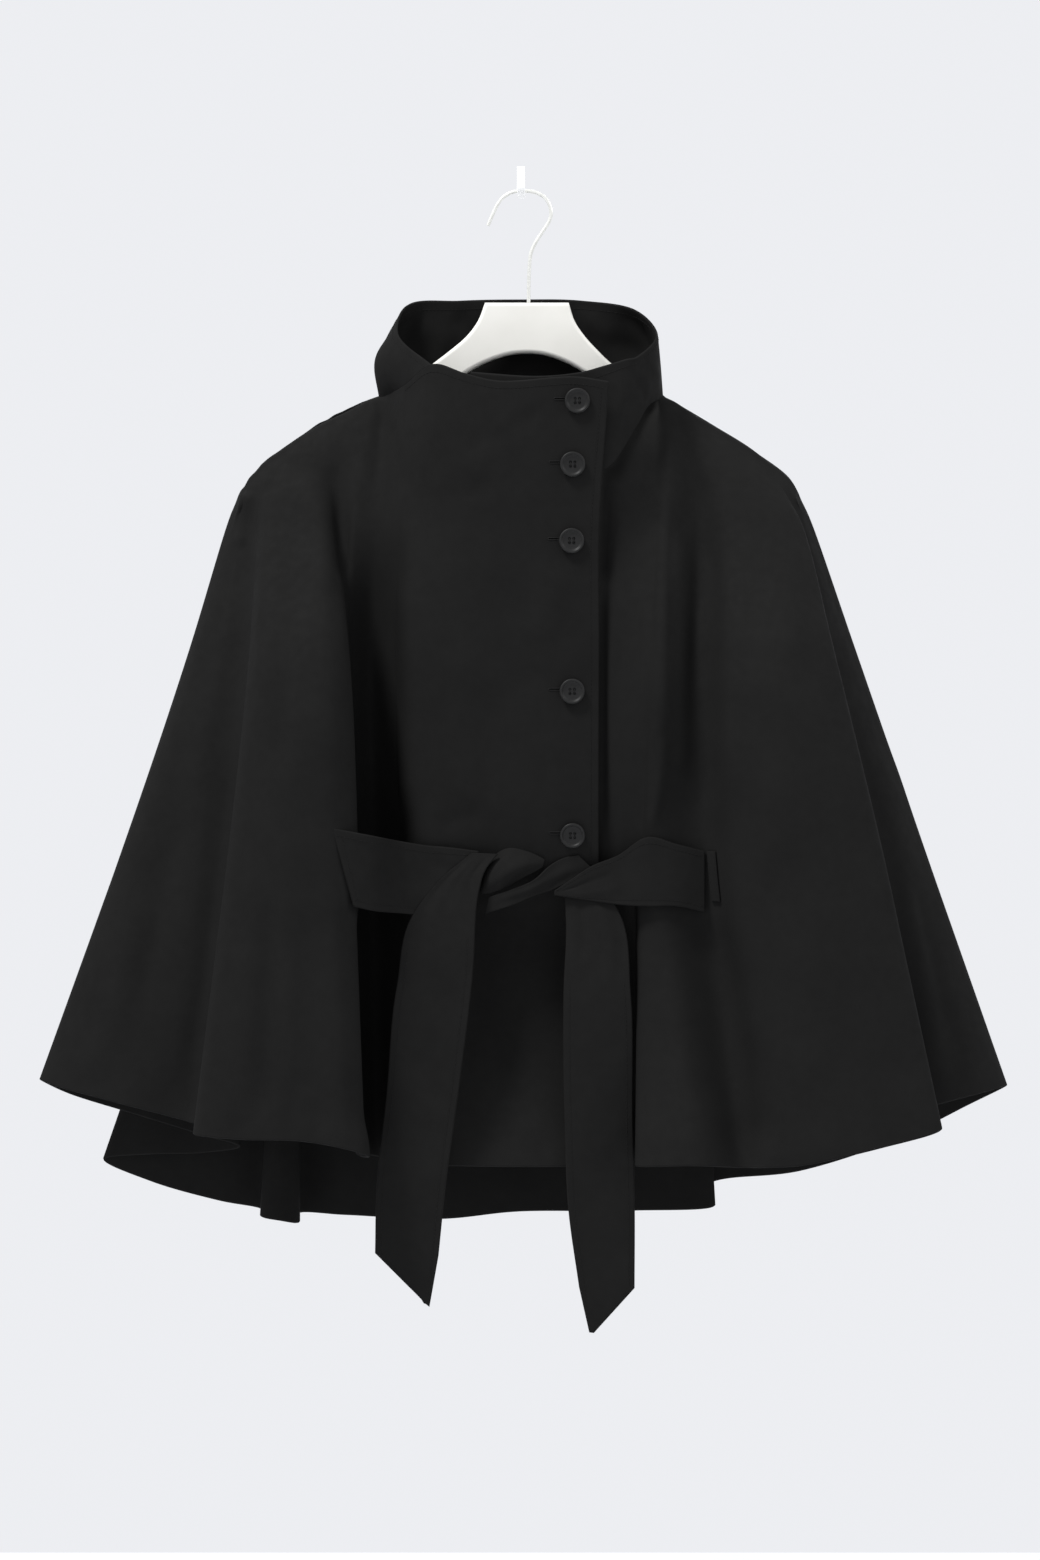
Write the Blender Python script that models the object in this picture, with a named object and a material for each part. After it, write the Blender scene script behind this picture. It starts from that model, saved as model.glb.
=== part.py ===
"""Cape trench jacket, hung on a hanger from a small hook on a wall.

X runs right as seen from the front, +Y into the wall, +Z up. The origin is on the wall, where the hook
meets it. All sizes are in millimetres until a mesh is made. Left and right in the names are the wearer's.
"""

import bmesh
import bpy
import numpy as np

MM = 0.001

# Cloth
WALL = 2.0
BELT_WALL = 2.6
SEAM_HALF_GAP = 0.2
RIDGE_HALF_GAP = 0.8

# Heights of the sections that every fold passes
UPPER_Z = -298.0
CHEST_Z = -391.0
BELT_Z = -586.0

# Shoulders, rolled over the hanger's arms
RIDGE_Y = -24.0
RIDGE_REACH = 2.5
CROWN_OUT = 7.0
CROWN_DROP = 1.2
CAP_OUT = 13.0
CAP_DROP = 7.0
FREE_CROWN = 0.05
FREE_CAP = 0.15

# Where each section lies along a fold, from the top edge at 0 to the hem at 1
LEVELS = [0.0, 0.012, 0.035, 0.18, 0.32, 0.6, 0.7, 1.0]
ROWS = [0.0, 0.012, 0.035, 0.085, 0.18, 0.25, 0.32, 0.41, 0.5, 0.6, 0.68, 0.77, 0.86, 0.93, 1.0]
COLUMN_SPACING = 26.0
MOST_COLUMNS = 4

# Right front: fold, top x y z, upper x y, chest x y, belt x y, hem x y z
FRONT_RIGHT = [
    ("edge", 73, -112, -177.5, 65, -108, 65, -110, 65, -100, 69, -112, -833),
    ("panel_right", 44, -112, -173.5, 31, -110.5, 31, -112.5, 31, -100.5, 37, -112, -833),
    ("panel_mid", -18, -111, -177, -28, -112, -28, -114, -28, -101, -20, -112, -833),
    ("panel_left", -46, -106, -170.5, -58, -109, -58, -114, -57, -102.5, -50, -111, -832.5),
    ("panel_turn", -74, -98, -161.5, -88, -101, -89, -112, -86, -104, -80, -108, -832),
    ("valley_in", -98, -74, -176, -104, -86, -106, -83, -103, -74, -104, -70, -832),
    ("valley", -112.5, -42, -180.5, -122, -72, -127, -62, -125, -52, -124, -52, -830),
    ("valley_out", -127, -24, -183, -142, -71, -143, -78, -142, -72, -138, -80, -825),
    ("wing_under", -151, -24, -195, -153, -70, -147, -100, -141, -112, -132, -130, -823),
    ("wing_edge", -168, -24, -203, -161, -78, -146, -124, -136, -140, -126, -158, -820),
    ("wing_1", -184, -24, -212, -174, -82, -158, -138, -153, -156, -142, -172, -813),
    ("wing_2", -199, -24, -222, -191, -82, -185, -138, -182, -160, -181, -172, -806),
    ("wing_3", -210, -24, -230, -207, -76, -211, -128, -219, -154, -231, -168, -805),
    ("wing_corner", -221, -24, -238, -220, -66, -224, -112, -243, -140, -268, -160, -802),
    ("step_in", -226, -24, -244, -225, -56, -227, -90, -242, -106, -265, -120, -800),
    ("step_back", -232, -24, -250, -231, -48, -234, -74, -253, -90, -278, -98, -797),
    ("outer_mid", -236, -24, -257, -240, -42, -254, -62, -291, -80, -337, -92, -782),
    ("outer_end", -240, -24, -262, -249, -34, -274, -50, -335, -64, -390, -72, -770),
    ("side_right", -242, -24, -266, -254, -24, -281, -34, -345, -48, -409, -55, -765),
]

# Back: fold, top x y z, belt x y, hem x y z
BACK = [
    ("return_1", -239, -24, -262, -330, -36, -386, -40, -778),
    ("return_2", -234, -24, -253, -302, -36, -334, -42, -794),
    ("return_3", -228, -24, -246, -272, -36, -274, -46, -812),
    ("tuck_turn", -221, -24, -238, -252, -30, -241, -38, -824),
    ("tuck_back", -215, -24, -233, -255, -22, -276, -26, -830),
    ("tuck_mid", -209, -24, -229, -266, -19, -319, -27, -831),
    ("tuck_edge", -202, -24, -224, -273, -13, -359, -18, -836),
    ("back_1", -193, -24, -218, -255, -8, -320, -8, -856),
    ("back_2", -183, -24, -211, -225, -8, -260, -8, -873),
    ("roll_in", -173, -24, -204, -208, -8, -224, -9, -880),
    ("roll_left", -166, -24, -201, -206, -14, -222, -34, -884),
    ("roll_mid", -160, -24, -197, -199, -17, -206, -44, -886),
    ("roll_right", -153, -24, -194, -192, -14, -191, -34, -889),
    ("roll_out", -147, -24, -191, -190, -8, -193, -9, -884),
    ("neck_right", -113, -16, -176.5, -148, -9, -152, -10, -885),
    ("back_3", -70, -9, -175, -70, -9, -70, -14, -888),
    ("back_centre", -1, -9, -173, -1, -9, -1, -10, -882),
    ("back_4", 68, -9, -175, 77, -9, 94, -13, -881),
    ("neck_left", 113, -16, -177, 154, -16, 166, -26, -874),
    ("pleat_in", 126, -24, -183, 157, -11, 146, -14, -865),
    ("pleat_out", 140, -24, -191, 165, -8, 168, -7, -856),
    ("back_5", 170, -24, -209, 224, -8, 241, -10, -847),
    ("back_6", 201, -24, -229, 284, -14, 326, -20, -818),
    ("back_7", 228, -24, -249, 329, -30, 384, -38, -787),
]

# Left front, from the side seam to the edge under the right front: columns as in the right front
FRONT_LEFT = [
    ("side_left", 237, -24, -263, 252, -24, 283, -34, 349, -48, 413, -55, -770),
    ("outer_1", 235, -24, -259, 248, -34, 276, -50, 339, -66, 392, -82, -773),
    ("outer_2", 232, -24, -254, 244, -42, 268, -62, 323, -80, 361, -92, -780),
    ("step_back_left", 228, -24, -249, 240, -48, 258, -74, 305, -90, 340, -95, -786),
    ("step_in_left", 221, -24, -243, 237, -56, 253, -90, 295, -106, 329, -120, -792),
    ("corner_left", 212, -24, -237, 239, -66, 258, -112, 302, -140, 346, -158, -798),
    ("broad_1", 193, -24, -223, 223, -76, 232, -130, 261, -156, 295, -170, -812),
    ("broad_2", 170, -24, -209, 206, -82, 208, -136, 221, -160, 237, -172, -825),
    ("trough_out", 154, -24, -200, 175, -80, 172, -126, 180, -142, 205, -158, -829),
    ("trough", 140, -24, -191, 150, -66, 148, -98, 156, -112, 183, -140, -831),
    ("ridge", 126, -24, -183, 124, -88, 118, -122, 112, -116, 139, -165, -827),
    ("tail_edge", 111.6, -40, -177.4, 114, -88, 107, -117, 101, -109, 96, -150, -829),
    ("under", 102, -58, -191, 104, -89, 98, -111, 94, -102, 110, -100, -829),
    ("valley_left", 94, -74, -205, 95, -91, 88, -107, 86, -98, 102, -70, -831),
    ("valley_in_left", 85, -86, -220, 83, -94, 76, -105, 76, -95, 80, -80, -832),
    ("lap_start", 71, -98, -241, 62, -100, 62, -103, 60, -92, 62, -94, -830),
    ("lap_flat", 45, -98, -249, 40, -100.5, 40, -103.5, 38, -92, 42, -102, -830),
    ("lap_mid", 5, -98, -257, -3, -100.5, -4, -103.5, -8, -92, -10, -103.5, -830),
    ("lap_edge", -50, -98, -265, -50, -100, -51, -103, -58, -92, -68, -104, -830),
]

# Below the belt, which gathers the front: fold, how far it falls back there
HOLLOW_SHARE = 0.25
HOLLOWS = [
    ("edge", 22),
    ("panel_right", 23),
    ("panel_mid", 23),
    ("panel_left", 16),
    ("panel_turn", 6),
    ("trough_out", 2),
    ("trough", 7),
    ("ridge", 11),
    ("tail_edge", 11),
    ("under", 14),
    ("valley_left", 12),
    ("valley_in_left", 12),
    ("lap_start", 20),
    ("lap_flat", 22),
    ("lap_mid", 22),
    ("lap_edge", 22),
]

# Funnel collar: station, base x y z, middle x y z, rim x y z
COLLAR = [
    ("front_seam", -113, -40, -179.5, -99.5, -72, -174, -76, -97, -160),
    ("side_right", -117, -28, -178, -123, -45, -151, -105, -57, -131.5),
    ("back_right", -110.5, -14.5, -174, -113, -14, -140, -98, -22, -102.5),
    ("back_mid_right", -70, -9, -172.5, -62, -6, -135, -53, -8, -97),
    ("back_centre", -1, -9, -170.5, -1, -5.5, -134, -1, -8, -96),
    ("back_mid_left", 68, -9, -172.5, 62, -6, -135, 53, -8, -97),
    ("back_left", 111, -14.5, -174, 111, -14, -140, 99, -24, -107),
    ("side_left", 117.5, -31, -173.3, 118, -48, -153, 115.5, -58, -131.5),
    ("front_1", 107, -62, -192.5, 108, -74, -172, 98.5, -86, -153.5),
    ("front_2", 96, -79, -212, 93, -90, -184, 88, -92, -157),
    ("front_3", 73, -101.5, -247, 76, -100, -200, 70, -98, -163),
    ("under_1", 40, -104, -259, 42, -103, -212, 48, -101, -169),
    ("under_2", 0, -104, -268, 5, -103, -216, 12, -101, -172),
    ("under_end", -46, -102, -272, -45, -99, -220, -42, -96, -168),
]
COLLAR_ROWS = 6
COLLAR_COLUMNS = 2
# Where the collar's seam starts along the right front's top, from panel_turn to valley_in
COLLAR_SEAM_START = 0.06
COLLAR_SEAM_GAP = 0.9

# Belt: each row is x and y of the top edge, x and y of the bottom edge, z of the top, z of the bottom
BELT_RIGHT = [
    ("slit", -156, -159.5, -138, -157, -550, -614),
    ("bridge", -126, -146, -122, -142, -556, -618),
    ("ridge", -98, -119, -98, -119, -562, -621),
    ("chest", -80, -113.4, -80, -114, -565, -623),
    ("under_tail", -58, -112.4, -58, -112.4, -567, -622),
    ("knot", -36, -110.4, -36, -110, -570, -609),
]
BELT_LEFT = [
    ("knot", 28, -111.2, 28, -111.2, -603, -606),
    ("cross", 42, -110.4, 42, -110.6, -593.6, -608.2),
    ("lap", 58, -110, 58, -110.5, -583, -610.6),
    ("edge", 80, -111.5, 78, -112.5, -574, -613.4),
    ("ridge", 106, -120.2, 106, -120.4, -558, -615),
    ("chest", 130, -119.5, 130, -120.5, -564, -615),
    ("slit", 153, -116.5, 153, -117.5, -570, -620),
]
BELT_INSIDE = [
    ("slit_right", -160, -153.5, -158, -152.5, -552, -614),
    ("wing", -170, -118, -170, -118, -553, -614),
    ("turn_right", -166, -66, -166, -66, -554, -615),
    ("back_right", -146, -37, -146, -37, -555, -616),
    ("back_mid_right", -80, -27, -80, -27, -556, -617),
    ("back_centre", 0, -24, 0, -24, -557, -618),
    ("back_mid_left", 80, -27, 80, -27, -558, -619),
    ("back_left", 146, -42, 146, -42, -560, -620),
    ("turn_left", 170, -80, 170, -80, -562, -620),
    ("slit_left", 159.4, -112.7, 159.4, -110.2, -564, -620),
]
# Tails: each row is x and y of one long edge, x and y of the other, and the z of both
TAIL_RIGHT = [
    ("knot", -41, -114, -20, -114, -571, -572),
    ("gather", -66, -116, -30.5, -117, -592, -586),
    ("spread", -88, -119.5, -36, -120.5, -619, -605),
    ("upper", -103, -122, -40.5, -126, -681, -670),
    ("middle", -112, -120, -53, -128, -773, -773),
    ("hem", -120, -120, -63.5, -126, -850, -850),
    ("end", -121.2, -120, -69.3, -124, -904.6, -906),
    ("tip", -80, -122, -76.8, -122.5, -945.5, -948.5),
]
TAIL_LEFT = [
    ("knot", 36, -106, 72, -107.5, -600, -603),
    ("spread", 38, -108.5, 84, -110.5, -626, -626),
    ("upper", 36, -118, 91, -117, -687, -687),
    ("middle", 37, -121, 93, -119, -802, -802),
    ("hem", 40, -122, 94.3, -120, -868, -868),
    ("end", 48.8, -123, 94.1, -121, -932, -933.6),
    ("tip", 57.3, -123.5, 60.3, -123, -970, -970.5),
]
# Knot: the diagonal band in rows as in the belt, then the wrap round it, which the crown swells
BELT_CROSS = [
    ("left_end", -27, -111.5, -30, -111.5, -608.5, -621.5),
    ("left", -7, -116, -10, -115.5, -601.5, -615),
    ("middle", 12, -113, 13, -112.6, -593, -605.8),
    ("right", 23, -107.8, 26, -107.4, -581, -600.5),
    ("far", 34, -105.4, 41, -105.6, -573, -592),
    ("end", 48, -105.4, 61, -105, -568.5, -582),
]
BELT_KNOT = [
    ("low_end", -33, -110.5, -32.5, -111, -600, -605),
    ("rise", -29, -106.5, -26, -111.5, -583.5, -604),
    ("crest", -13, -105.4, -13, -112, -568.5, -599.5),
    ("run", 6, -105.4, 3, -110.5, -571, -590.5),
    ("tip", 19.5, -106.2, 17.5, -108.6, -577, -583),
]
KNOT_CROWN = 10.0

# Buttons: x and z of each centre on the right front
BUTTONS = [(47, -193), (43, -246), (42, -310), (42.5, -436), (43, -552)]
BUTTON_RADIUS = 10.6
BUTTON_HEIGHT = 3.4
BUTTON_RIM = 2.2
BUTTON_DISH = 1.1
BUTTON_LIFT = 0.7
BUTTON_SIDES = 20
BUTTON_HOLE_RADIUS = 1.15
BUTTON_HOLE_OFFSET = 2.6
BUTTON_HOLE_SIDES = 6

# Welt of the belt slit in the left front
WELT_FOLDS = ("trough", "trough_out")
WELT_SPAN = (0.08, 0.36)
WELT_ROWS = (0.575, 0.64)
WELT_WALL = 2.0
WELT_LIFT = 0.4

# Hanger: outline x z, left of the stem from the top, along the arm's upper edge, and back under it
HANGER_THICK = 10.0
HANGER_BEVEL = 3.5
HANGER_OUTLINE = [
    (-31, -100), (-37, -115.5), (-47, -129), (-61, -141), (-76, -152.5), (-104, -173.5), (-118, -183.5),
    (-135, -188.4), (-168, -206.1), (-199, -225), (-221, -242.2), (-229, -253), (-227, -263), (-217, -266),
    (-190, -249), (-150, -229), (-110, -208), (-80, -187), (-46, -160), (-18, -147), (5, -143.5),
    (28, -147), (54, -160), (88, -187), (118, -205), (158, -231), (190, -252), (212, -268), (222, -267),
    (225, -257), (215, -244), (193, -227), (170, -213.5), (140, -195.5), (125, -187), (113, -184),
    (104, -174), (78, -152.5), (66, -141), (55, -129), (46, -115.5), (41, -100),
]
WIRE_RADIUS = 1.6
WIRE_ROUTE = [
    (6.5, -99.6), (6.6, -90), (6.8, -78), (7.4, -66), (8.6, -57), (12.5, -48), (19, -38), (24.5, -29),
    (25.8, -21), (23, -12.5), (17, -7), (9, -4.2), (0, -3.7), (-8, -5), (-15, -9), (-20, -15),
    (-24, -23), (-28.5, -33.5),
]
WALL_HOOK_WIDTH = 6.0
WALL_HOOK_THICK = 2.0
WALL_HOOK_PATH = [
    (-1, 20.5), (-1, 8), (-1, 1), (-2.2, -3.2), (-5.5, -6), (-10, -7), (-17, -7), (-24, -6.8),
    (-28, -5.4), (-30, -2), (-30.4, 2.5),
]

# Materials: colour, roughness, metallic
CLOTH = ("black_cloth", (0.012, 0.012, 0.014), 0.85, 0.0)
BUTTON = ("dark_button", (0.03, 0.03, 0.033), 0.35, 0.0)
HANGER = ("white_hanger", (0.80, 0.79, 0.75), 0.45, 0.0)
WIRE = ("pale_wire", (0.70, 0.70, 0.67), 0.35, 0.6)
HOOK = ("white_hook", (0.85, 0.85, 0.84), 0.40, 0.0)


def clear_scene():
    """Removes what the opened file holds."""
    for thing in list(bpy.data.objects):
        bpy.data.objects.remove(thing)


def material(look):
    """The material of this look, made once."""
    name, colour, roughness, metallic = look
    found = bpy.data.materials.get(name)
    if found:
        return found
    made = bpy.data.materials.new(name)
    made.use_nodes = True
    shader = made.node_tree.nodes["Principled BSDF"]
    shader.inputs["Base Color"].default_value = (*colour, 1.0)
    shader.inputs["Roughness"].default_value = roughness
    shader.inputs["Metallic"].default_value = metallic
    return made


def add_mesh(name, points, faces, look):
    """An object from points in millimetres and faces that list them."""
    mesh = bpy.data.meshes.new(name)
    mesh.from_pydata([tuple(point * MM) for point in np.asarray(points, float)], [], faces)
    mesh.materials.append(material(look))
    mesh.validate()
    mesh.shade_smooth()
    made = bpy.data.objects.new(name, mesh)
    bpy.context.collection.objects.link(made)
    return made


def curve(knots, values, at):
    """A smooth curve through values at the knots, read at the places at; knots may be uneven."""
    knots = np.asarray(knots, float)
    values = np.asarray(values, float)
    at = np.asarray(at, float)
    steps = np.diff(knots)
    slopes = np.diff(values, axis=0) / steps.reshape(-1, *[1] * (values.ndim - 1))
    tangents = np.empty_like(values)
    tangents[0] = slopes[0]
    tangents[-1] = slopes[-1]
    for index in range(1, len(knots) - 1):
        before, after = steps[index - 1], steps[index]
        tangents[index] = (slopes[index - 1] * after + slopes[index] * before) / (before + after)
    span = np.clip(np.searchsorted(knots, at, side="right") - 1, 0, len(steps) - 1)
    shape = (-1, *[1] * (values.ndim - 1))
    step = steps[span].reshape(shape)
    t = ((at - knots[span]) / steps[span]).reshape(shape)
    start = values[span] * (1 + 2 * t) * (1 - t) ** 2 + tangents[span] * step * t * (1 - t) ** 2
    end = values[span + 1] * t * t * (3 - 2 * t) + tangents[span + 1] * step * t * t * (t - 1)
    return start + end


def mix(first, second, share):
    return first + (second - first) * share


def fold_line(row, outward):
    """A fold's eight points, one for each level, from its row; outward is -1 in front and 1 at the back."""
    name, *sizes = row
    top = np.array(sizes[:3], float)
    hem = np.array(sizes[-3:], float)
    on_ridge = top[1] == RIDGE_Y and not name.startswith("side")
    if len(sizes) > 8:
        upper = np.array([*sizes[3:5], UPPER_Z], float)
        chest = np.array([*sizes[5:7], CHEST_Z], float)
        belt = np.array([*sizes[7:9], BELT_Z], float)
    else:
        belt = np.array([*sizes[3:5], BELT_Z], float)
        start = top + np.array([0.0, (CAP_OUT - 1.0) if on_ridge else 0.0, 0.0])
        upper = mix(start, belt, (UPPER_Z - top[2]) / (BELT_Z - top[2]))
        chest = mix(start, belt, (CHEST_Z - top[2]) / (BELT_Z - top[2]))
    if on_ridge:
        crown = top + np.array([0.0, outward * CROWN_OUT, -CROWN_DROP])
        cap = top + np.array([0.0, outward * CAP_OUT, -CAP_DROP])
        if outward > 0:
            cap[1] -= 1.0
    else:
        crown = mix(top, upper, FREE_CROWN)
        cap = mix(top, upper, FREE_CAP)
    below = mix(belt, hem, HOLLOW_SHARE) + np.array([0.0, dict(HOLLOWS).get(name, 0.0), 0.0])
    return np.array([top, crown, cap, upper, chest, belt, below, hem])


class Drape:
    """The jacket's one sheet, from the right front's edge round the back to the edge under it."""

    def __init__(self):
        rows = [(row, -1) for row in FRONT_RIGHT]
        rows += [(row, 1) for row in BACK]
        rows += [(row, -1) for row in FRONT_LEFT]
        self.names = [row[0] for row, _ in rows]
        self.lines = np.array([fold_line(row, outward) for row, outward in rows])
        apart = np.linalg.norm(np.diff(self.lines[:, 3:], axis=0), axis=2).mean(axis=1)
        self.reach = np.linalg.norm(np.diff(self.lines[:, -1], axis=0), axis=1)
        self.knots = np.concatenate([[0.0], np.cumsum(np.sqrt(apart))])

    def at(self, name):
        """The place of a fold across the sheet."""
        return self.knots[self.names.index(name)]

    def grid(self, across, down):
        """Points of the sheet's middle, a row for each place down and a column for each across."""
        lines = curve(LEVELS, self.lines.transpose(1, 0, 2), down)
        return curve(self.knots, lines.transpose(1, 0, 2), across).transpose(1, 0, 2)

    def frame(self, across, down, small=1e-3):
        """Points, the unit steps across and down, and the unit outward normals."""
        across = np.asarray(across, float)
        down = np.asarray(down, float)
        low = np.clip(across - small, self.knots[0], self.knots[-1])
        high = np.clip(across + small, self.knots[0], self.knots[-1])
        run = unit(self.grid(high, down) - self.grid(low, down))
        over = np.clip(down - small, 0.0, 1.0)
        under = np.clip(down + small, 0.0, 1.0)
        fall = unit(self.grid(across, under) - self.grid(across, over))
        return self.grid(across, down), run, fall, unit(np.cross(run, fall))

    def facets(self, first, last, across, down):
        """Points and normals on the flat faces of the panel between two folds, at places across and down."""
        places = self.places(first, last)
        middle, _, _, normals = self.frame(places, ROWS)
        column = np.clip(np.searchsorted(places, across, side="right") - 1, 0, len(places) - 2)
        row = np.clip(np.searchsorted(ROWS, down, side="right") - 1, 0, len(ROWS) - 2)
        along = ((across - places[column]) / (places[column + 1] - places[column]))[None, :, None]
        rows = np.asarray(ROWS)
        fall = ((down - rows[row]) / (rows[row + 1] - rows[row]))[:, None, None]

        def read(values):
            above = mix(values[np.ix_(row, column)], values[np.ix_(row, column + 1)], along)
            below = mix(values[np.ix_(row + 1, column)], values[np.ix_(row + 1, column + 1)], along)
            return mix(above, below, fall)

        return read(middle), unit(read(normals))

    def places(self, first, last):
        """Places across between two folds: each fold, and more where the hem runs far between two."""
        start, stop = self.names.index(first), self.names.index(last)
        found = [self.knots[start]]
        for index in range(start, stop):
            count = int(np.clip(round(self.reach[index] / COLUMN_SPACING), 2, MOST_COLUMNS))
            found += list(np.linspace(self.knots[index], self.knots[index + 1], count + 1)[1:])
        return np.array(found)


def unit(vectors):
    return vectors / np.linalg.norm(vectors, axis=-1, keepdims=True)


def wall_mesh(middle, normals, thick, closed=False):
    """Points and faces of a wall round a grid of middle points; closed joins the last column to the first."""
    rows, columns = middle.shape[:2]
    outer = (middle + normals * thick / 2).reshape(-1, 3)
    inner = (middle - normals * thick / 2).reshape(-1, 3)
    points = np.concatenate([outer, inner])
    back = rows * columns
    faces = []
    spans = columns if closed else columns - 1
    for row in range(rows - 1):
        for column in range(spans):
            right = (column + 1) % columns
            a, b = row * columns + column, row * columns + right
            c, d = b + columns, a + columns
            faces += [(a, b, c, d), (back + d, back + c, back + b, back + a)]
    for column in range(spans):
        right = (column + 1) % columns
        a, b = column, right
        faces.append((b, a, back + a, back + b))
        a, b = (rows - 1) * columns + column, (rows - 1) * columns + right
        faces.append((a, b, back + b, back + a))
    if not closed:
        for row in range(rows - 1):
            a, b = row * columns, (row + 1) * columns
            faces.append((a, b, back + b, back + a))
            a, b = a + columns - 1, b + columns - 1
            faces.append((b, a, back + a, back + b))
    return points, faces


def grid_normals(middle):
    """Unit normals of a grid from its neighbours, run crossed with fall."""
    run = np.gradient(middle, axis=1)
    fall = np.gradient(middle, axis=0)
    return unit(np.cross(run, fall))


def panel(drape, name, first, last, outward, seam_first, seam_last):
    """One cut piece of the sheet between two folds, parted from its neighbours at the seams."""
    across = drape.places(first, last)
    middle, run, _, normals = drape.frame(across, ROWS)
    if seam_first:
        middle[:, 0] += run[:, 0] * SEAM_HALF_GAP
    if seam_last:
        middle[:, -1] -= run[:, -1] * SEAM_HALF_GAP
    on_ridge = np.abs(middle[0, :, 1] - RIDGE_Y) < RIDGE_REACH
    middle[0, on_ridge, 1] = RIDGE_Y + outward * RIDGE_HALF_GAP
    for column, is_seam in ((0, seam_first), (-1, seam_last)):
        if is_seam:
            middle[0, column, 1] += outward * WALL / 2
    points, faces = wall_mesh(middle, normals, WALL)
    return add_mesh(name, points, faces, CLOTH)


def collar_seam(drape, count):
    """Points and normals along the top of the right front, where the collar is sewn to it, rim first."""
    first = mix(drape.at("panel_turn"), drape.at("valley_in"), COLLAR_SEAM_START)
    middle, _, fall, normals = drape.frame(np.linspace(first, drape.at("valley"), count), [0.0])
    return middle[0] - fall[0] * COLLAR_SEAM_GAP, normals[0]


def collar(drape):
    """The funnel collar, from its seam on the right front round the neck to its end under the front."""
    table = np.array([row[1:] for row in COLLAR], float).reshape(len(COLLAR), 3, 3)
    apart = np.linalg.norm(np.diff(table, axis=0), axis=2).mean(axis=1)
    knots = np.concatenate([[0.0], np.cumsum(np.sqrt(apart))])
    places = [knots[0]]
    for index in range(len(knots) - 1):
        places += list(np.linspace(knots[index], knots[index + 1], COLLAR_COLUMNS + 1)[1:])
    around = curve(knots, table, places)
    down = np.linspace(1.0, 0.0, COLLAR_ROWS)
    middle = curve([0.0, 0.5, 1.0], around.transpose(1, 0, 2), down)
    seam, seam_normals = collar_seam(drape, COLLAR_ROWS)
    middle[:, 0] = seam
    normals = grid_normals(middle)
    normals[:, 0] = seam_normals
    points, faces = wall_mesh(middle, normals, WALL)
    return add_mesh("collar", points, faces, CLOTH)


def band(name, rows, thick, steps=2, across=4, straight=0, crown=0.0):
    """A band between two long edges; the last spans may be cut straight, and the crown swells its middle."""
    table = np.array([row[1:] for row in rows], float)
    one = table[:, [0, 1, 4]]
    two = table[:, [2, 3, 5]]
    knots = np.concatenate([[0.0], np.cumsum(np.linalg.norm(np.diff(one + two, axis=0), axis=1))])
    places = [knots[0]]
    for index in range(len(knots) - 1):
        places += list(np.linspace(knots[index], knots[index + 1], steps + 1)[1:])
    places = np.array(places)
    bent = len(knots) - straight
    curved = places <= knots[bent - 1]
    edges = []
    for edge in (one, two):
        bend = curve(knots[:bent], edge[:bent], places[curved])
        cut = [[np.interp(place, knots, edge[:, axis]) for axis in range(3)] for place in places[~curved]]
        edges.append(np.concatenate([bend, np.reshape(cut, (-1, 3))]))
    share = np.linspace(0.0, 1.0, across)[:, None]
    middle = mix(edges[0], edges[1], share[..., None])
    along = (places - knots[0]) / (knots[-1] - knots[0])
    middle[..., 1] -= crown * np.sin(np.pi * share) * np.sin(np.pi * along)
    points, faces = wall_mesh(middle, grid_normals(middle), thick)
    return add_mesh(name, points, faces, CLOTH)


def turned_out(made):
    """The same object with every face pointing out."""
    mesh = bmesh.new()
    mesh.from_mesh(made.data)
    bmesh.ops.recalc_face_normals(mesh, faces=mesh.faces[:])
    mesh.to_mesh(made.data)
    mesh.free()
    return made


def surface_point(drape, x, z, first="edge", last="panel_turn"):
    """The point and normal of the sheet between two folds, nearest to a place in the front view."""
    across = np.linspace(drape.at(first), drape.at(last), 60)
    down = np.linspace(0.0, 1.0, 241)
    points, normals = drape.facets(first, last, across, down)
    off = (points[..., 0] - x) ** 2 + (points[..., 2] - z) ** 2
    row, column = np.unravel_index(np.argmin(off), off.shape)
    return points[row, column], normals[row, column]


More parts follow.
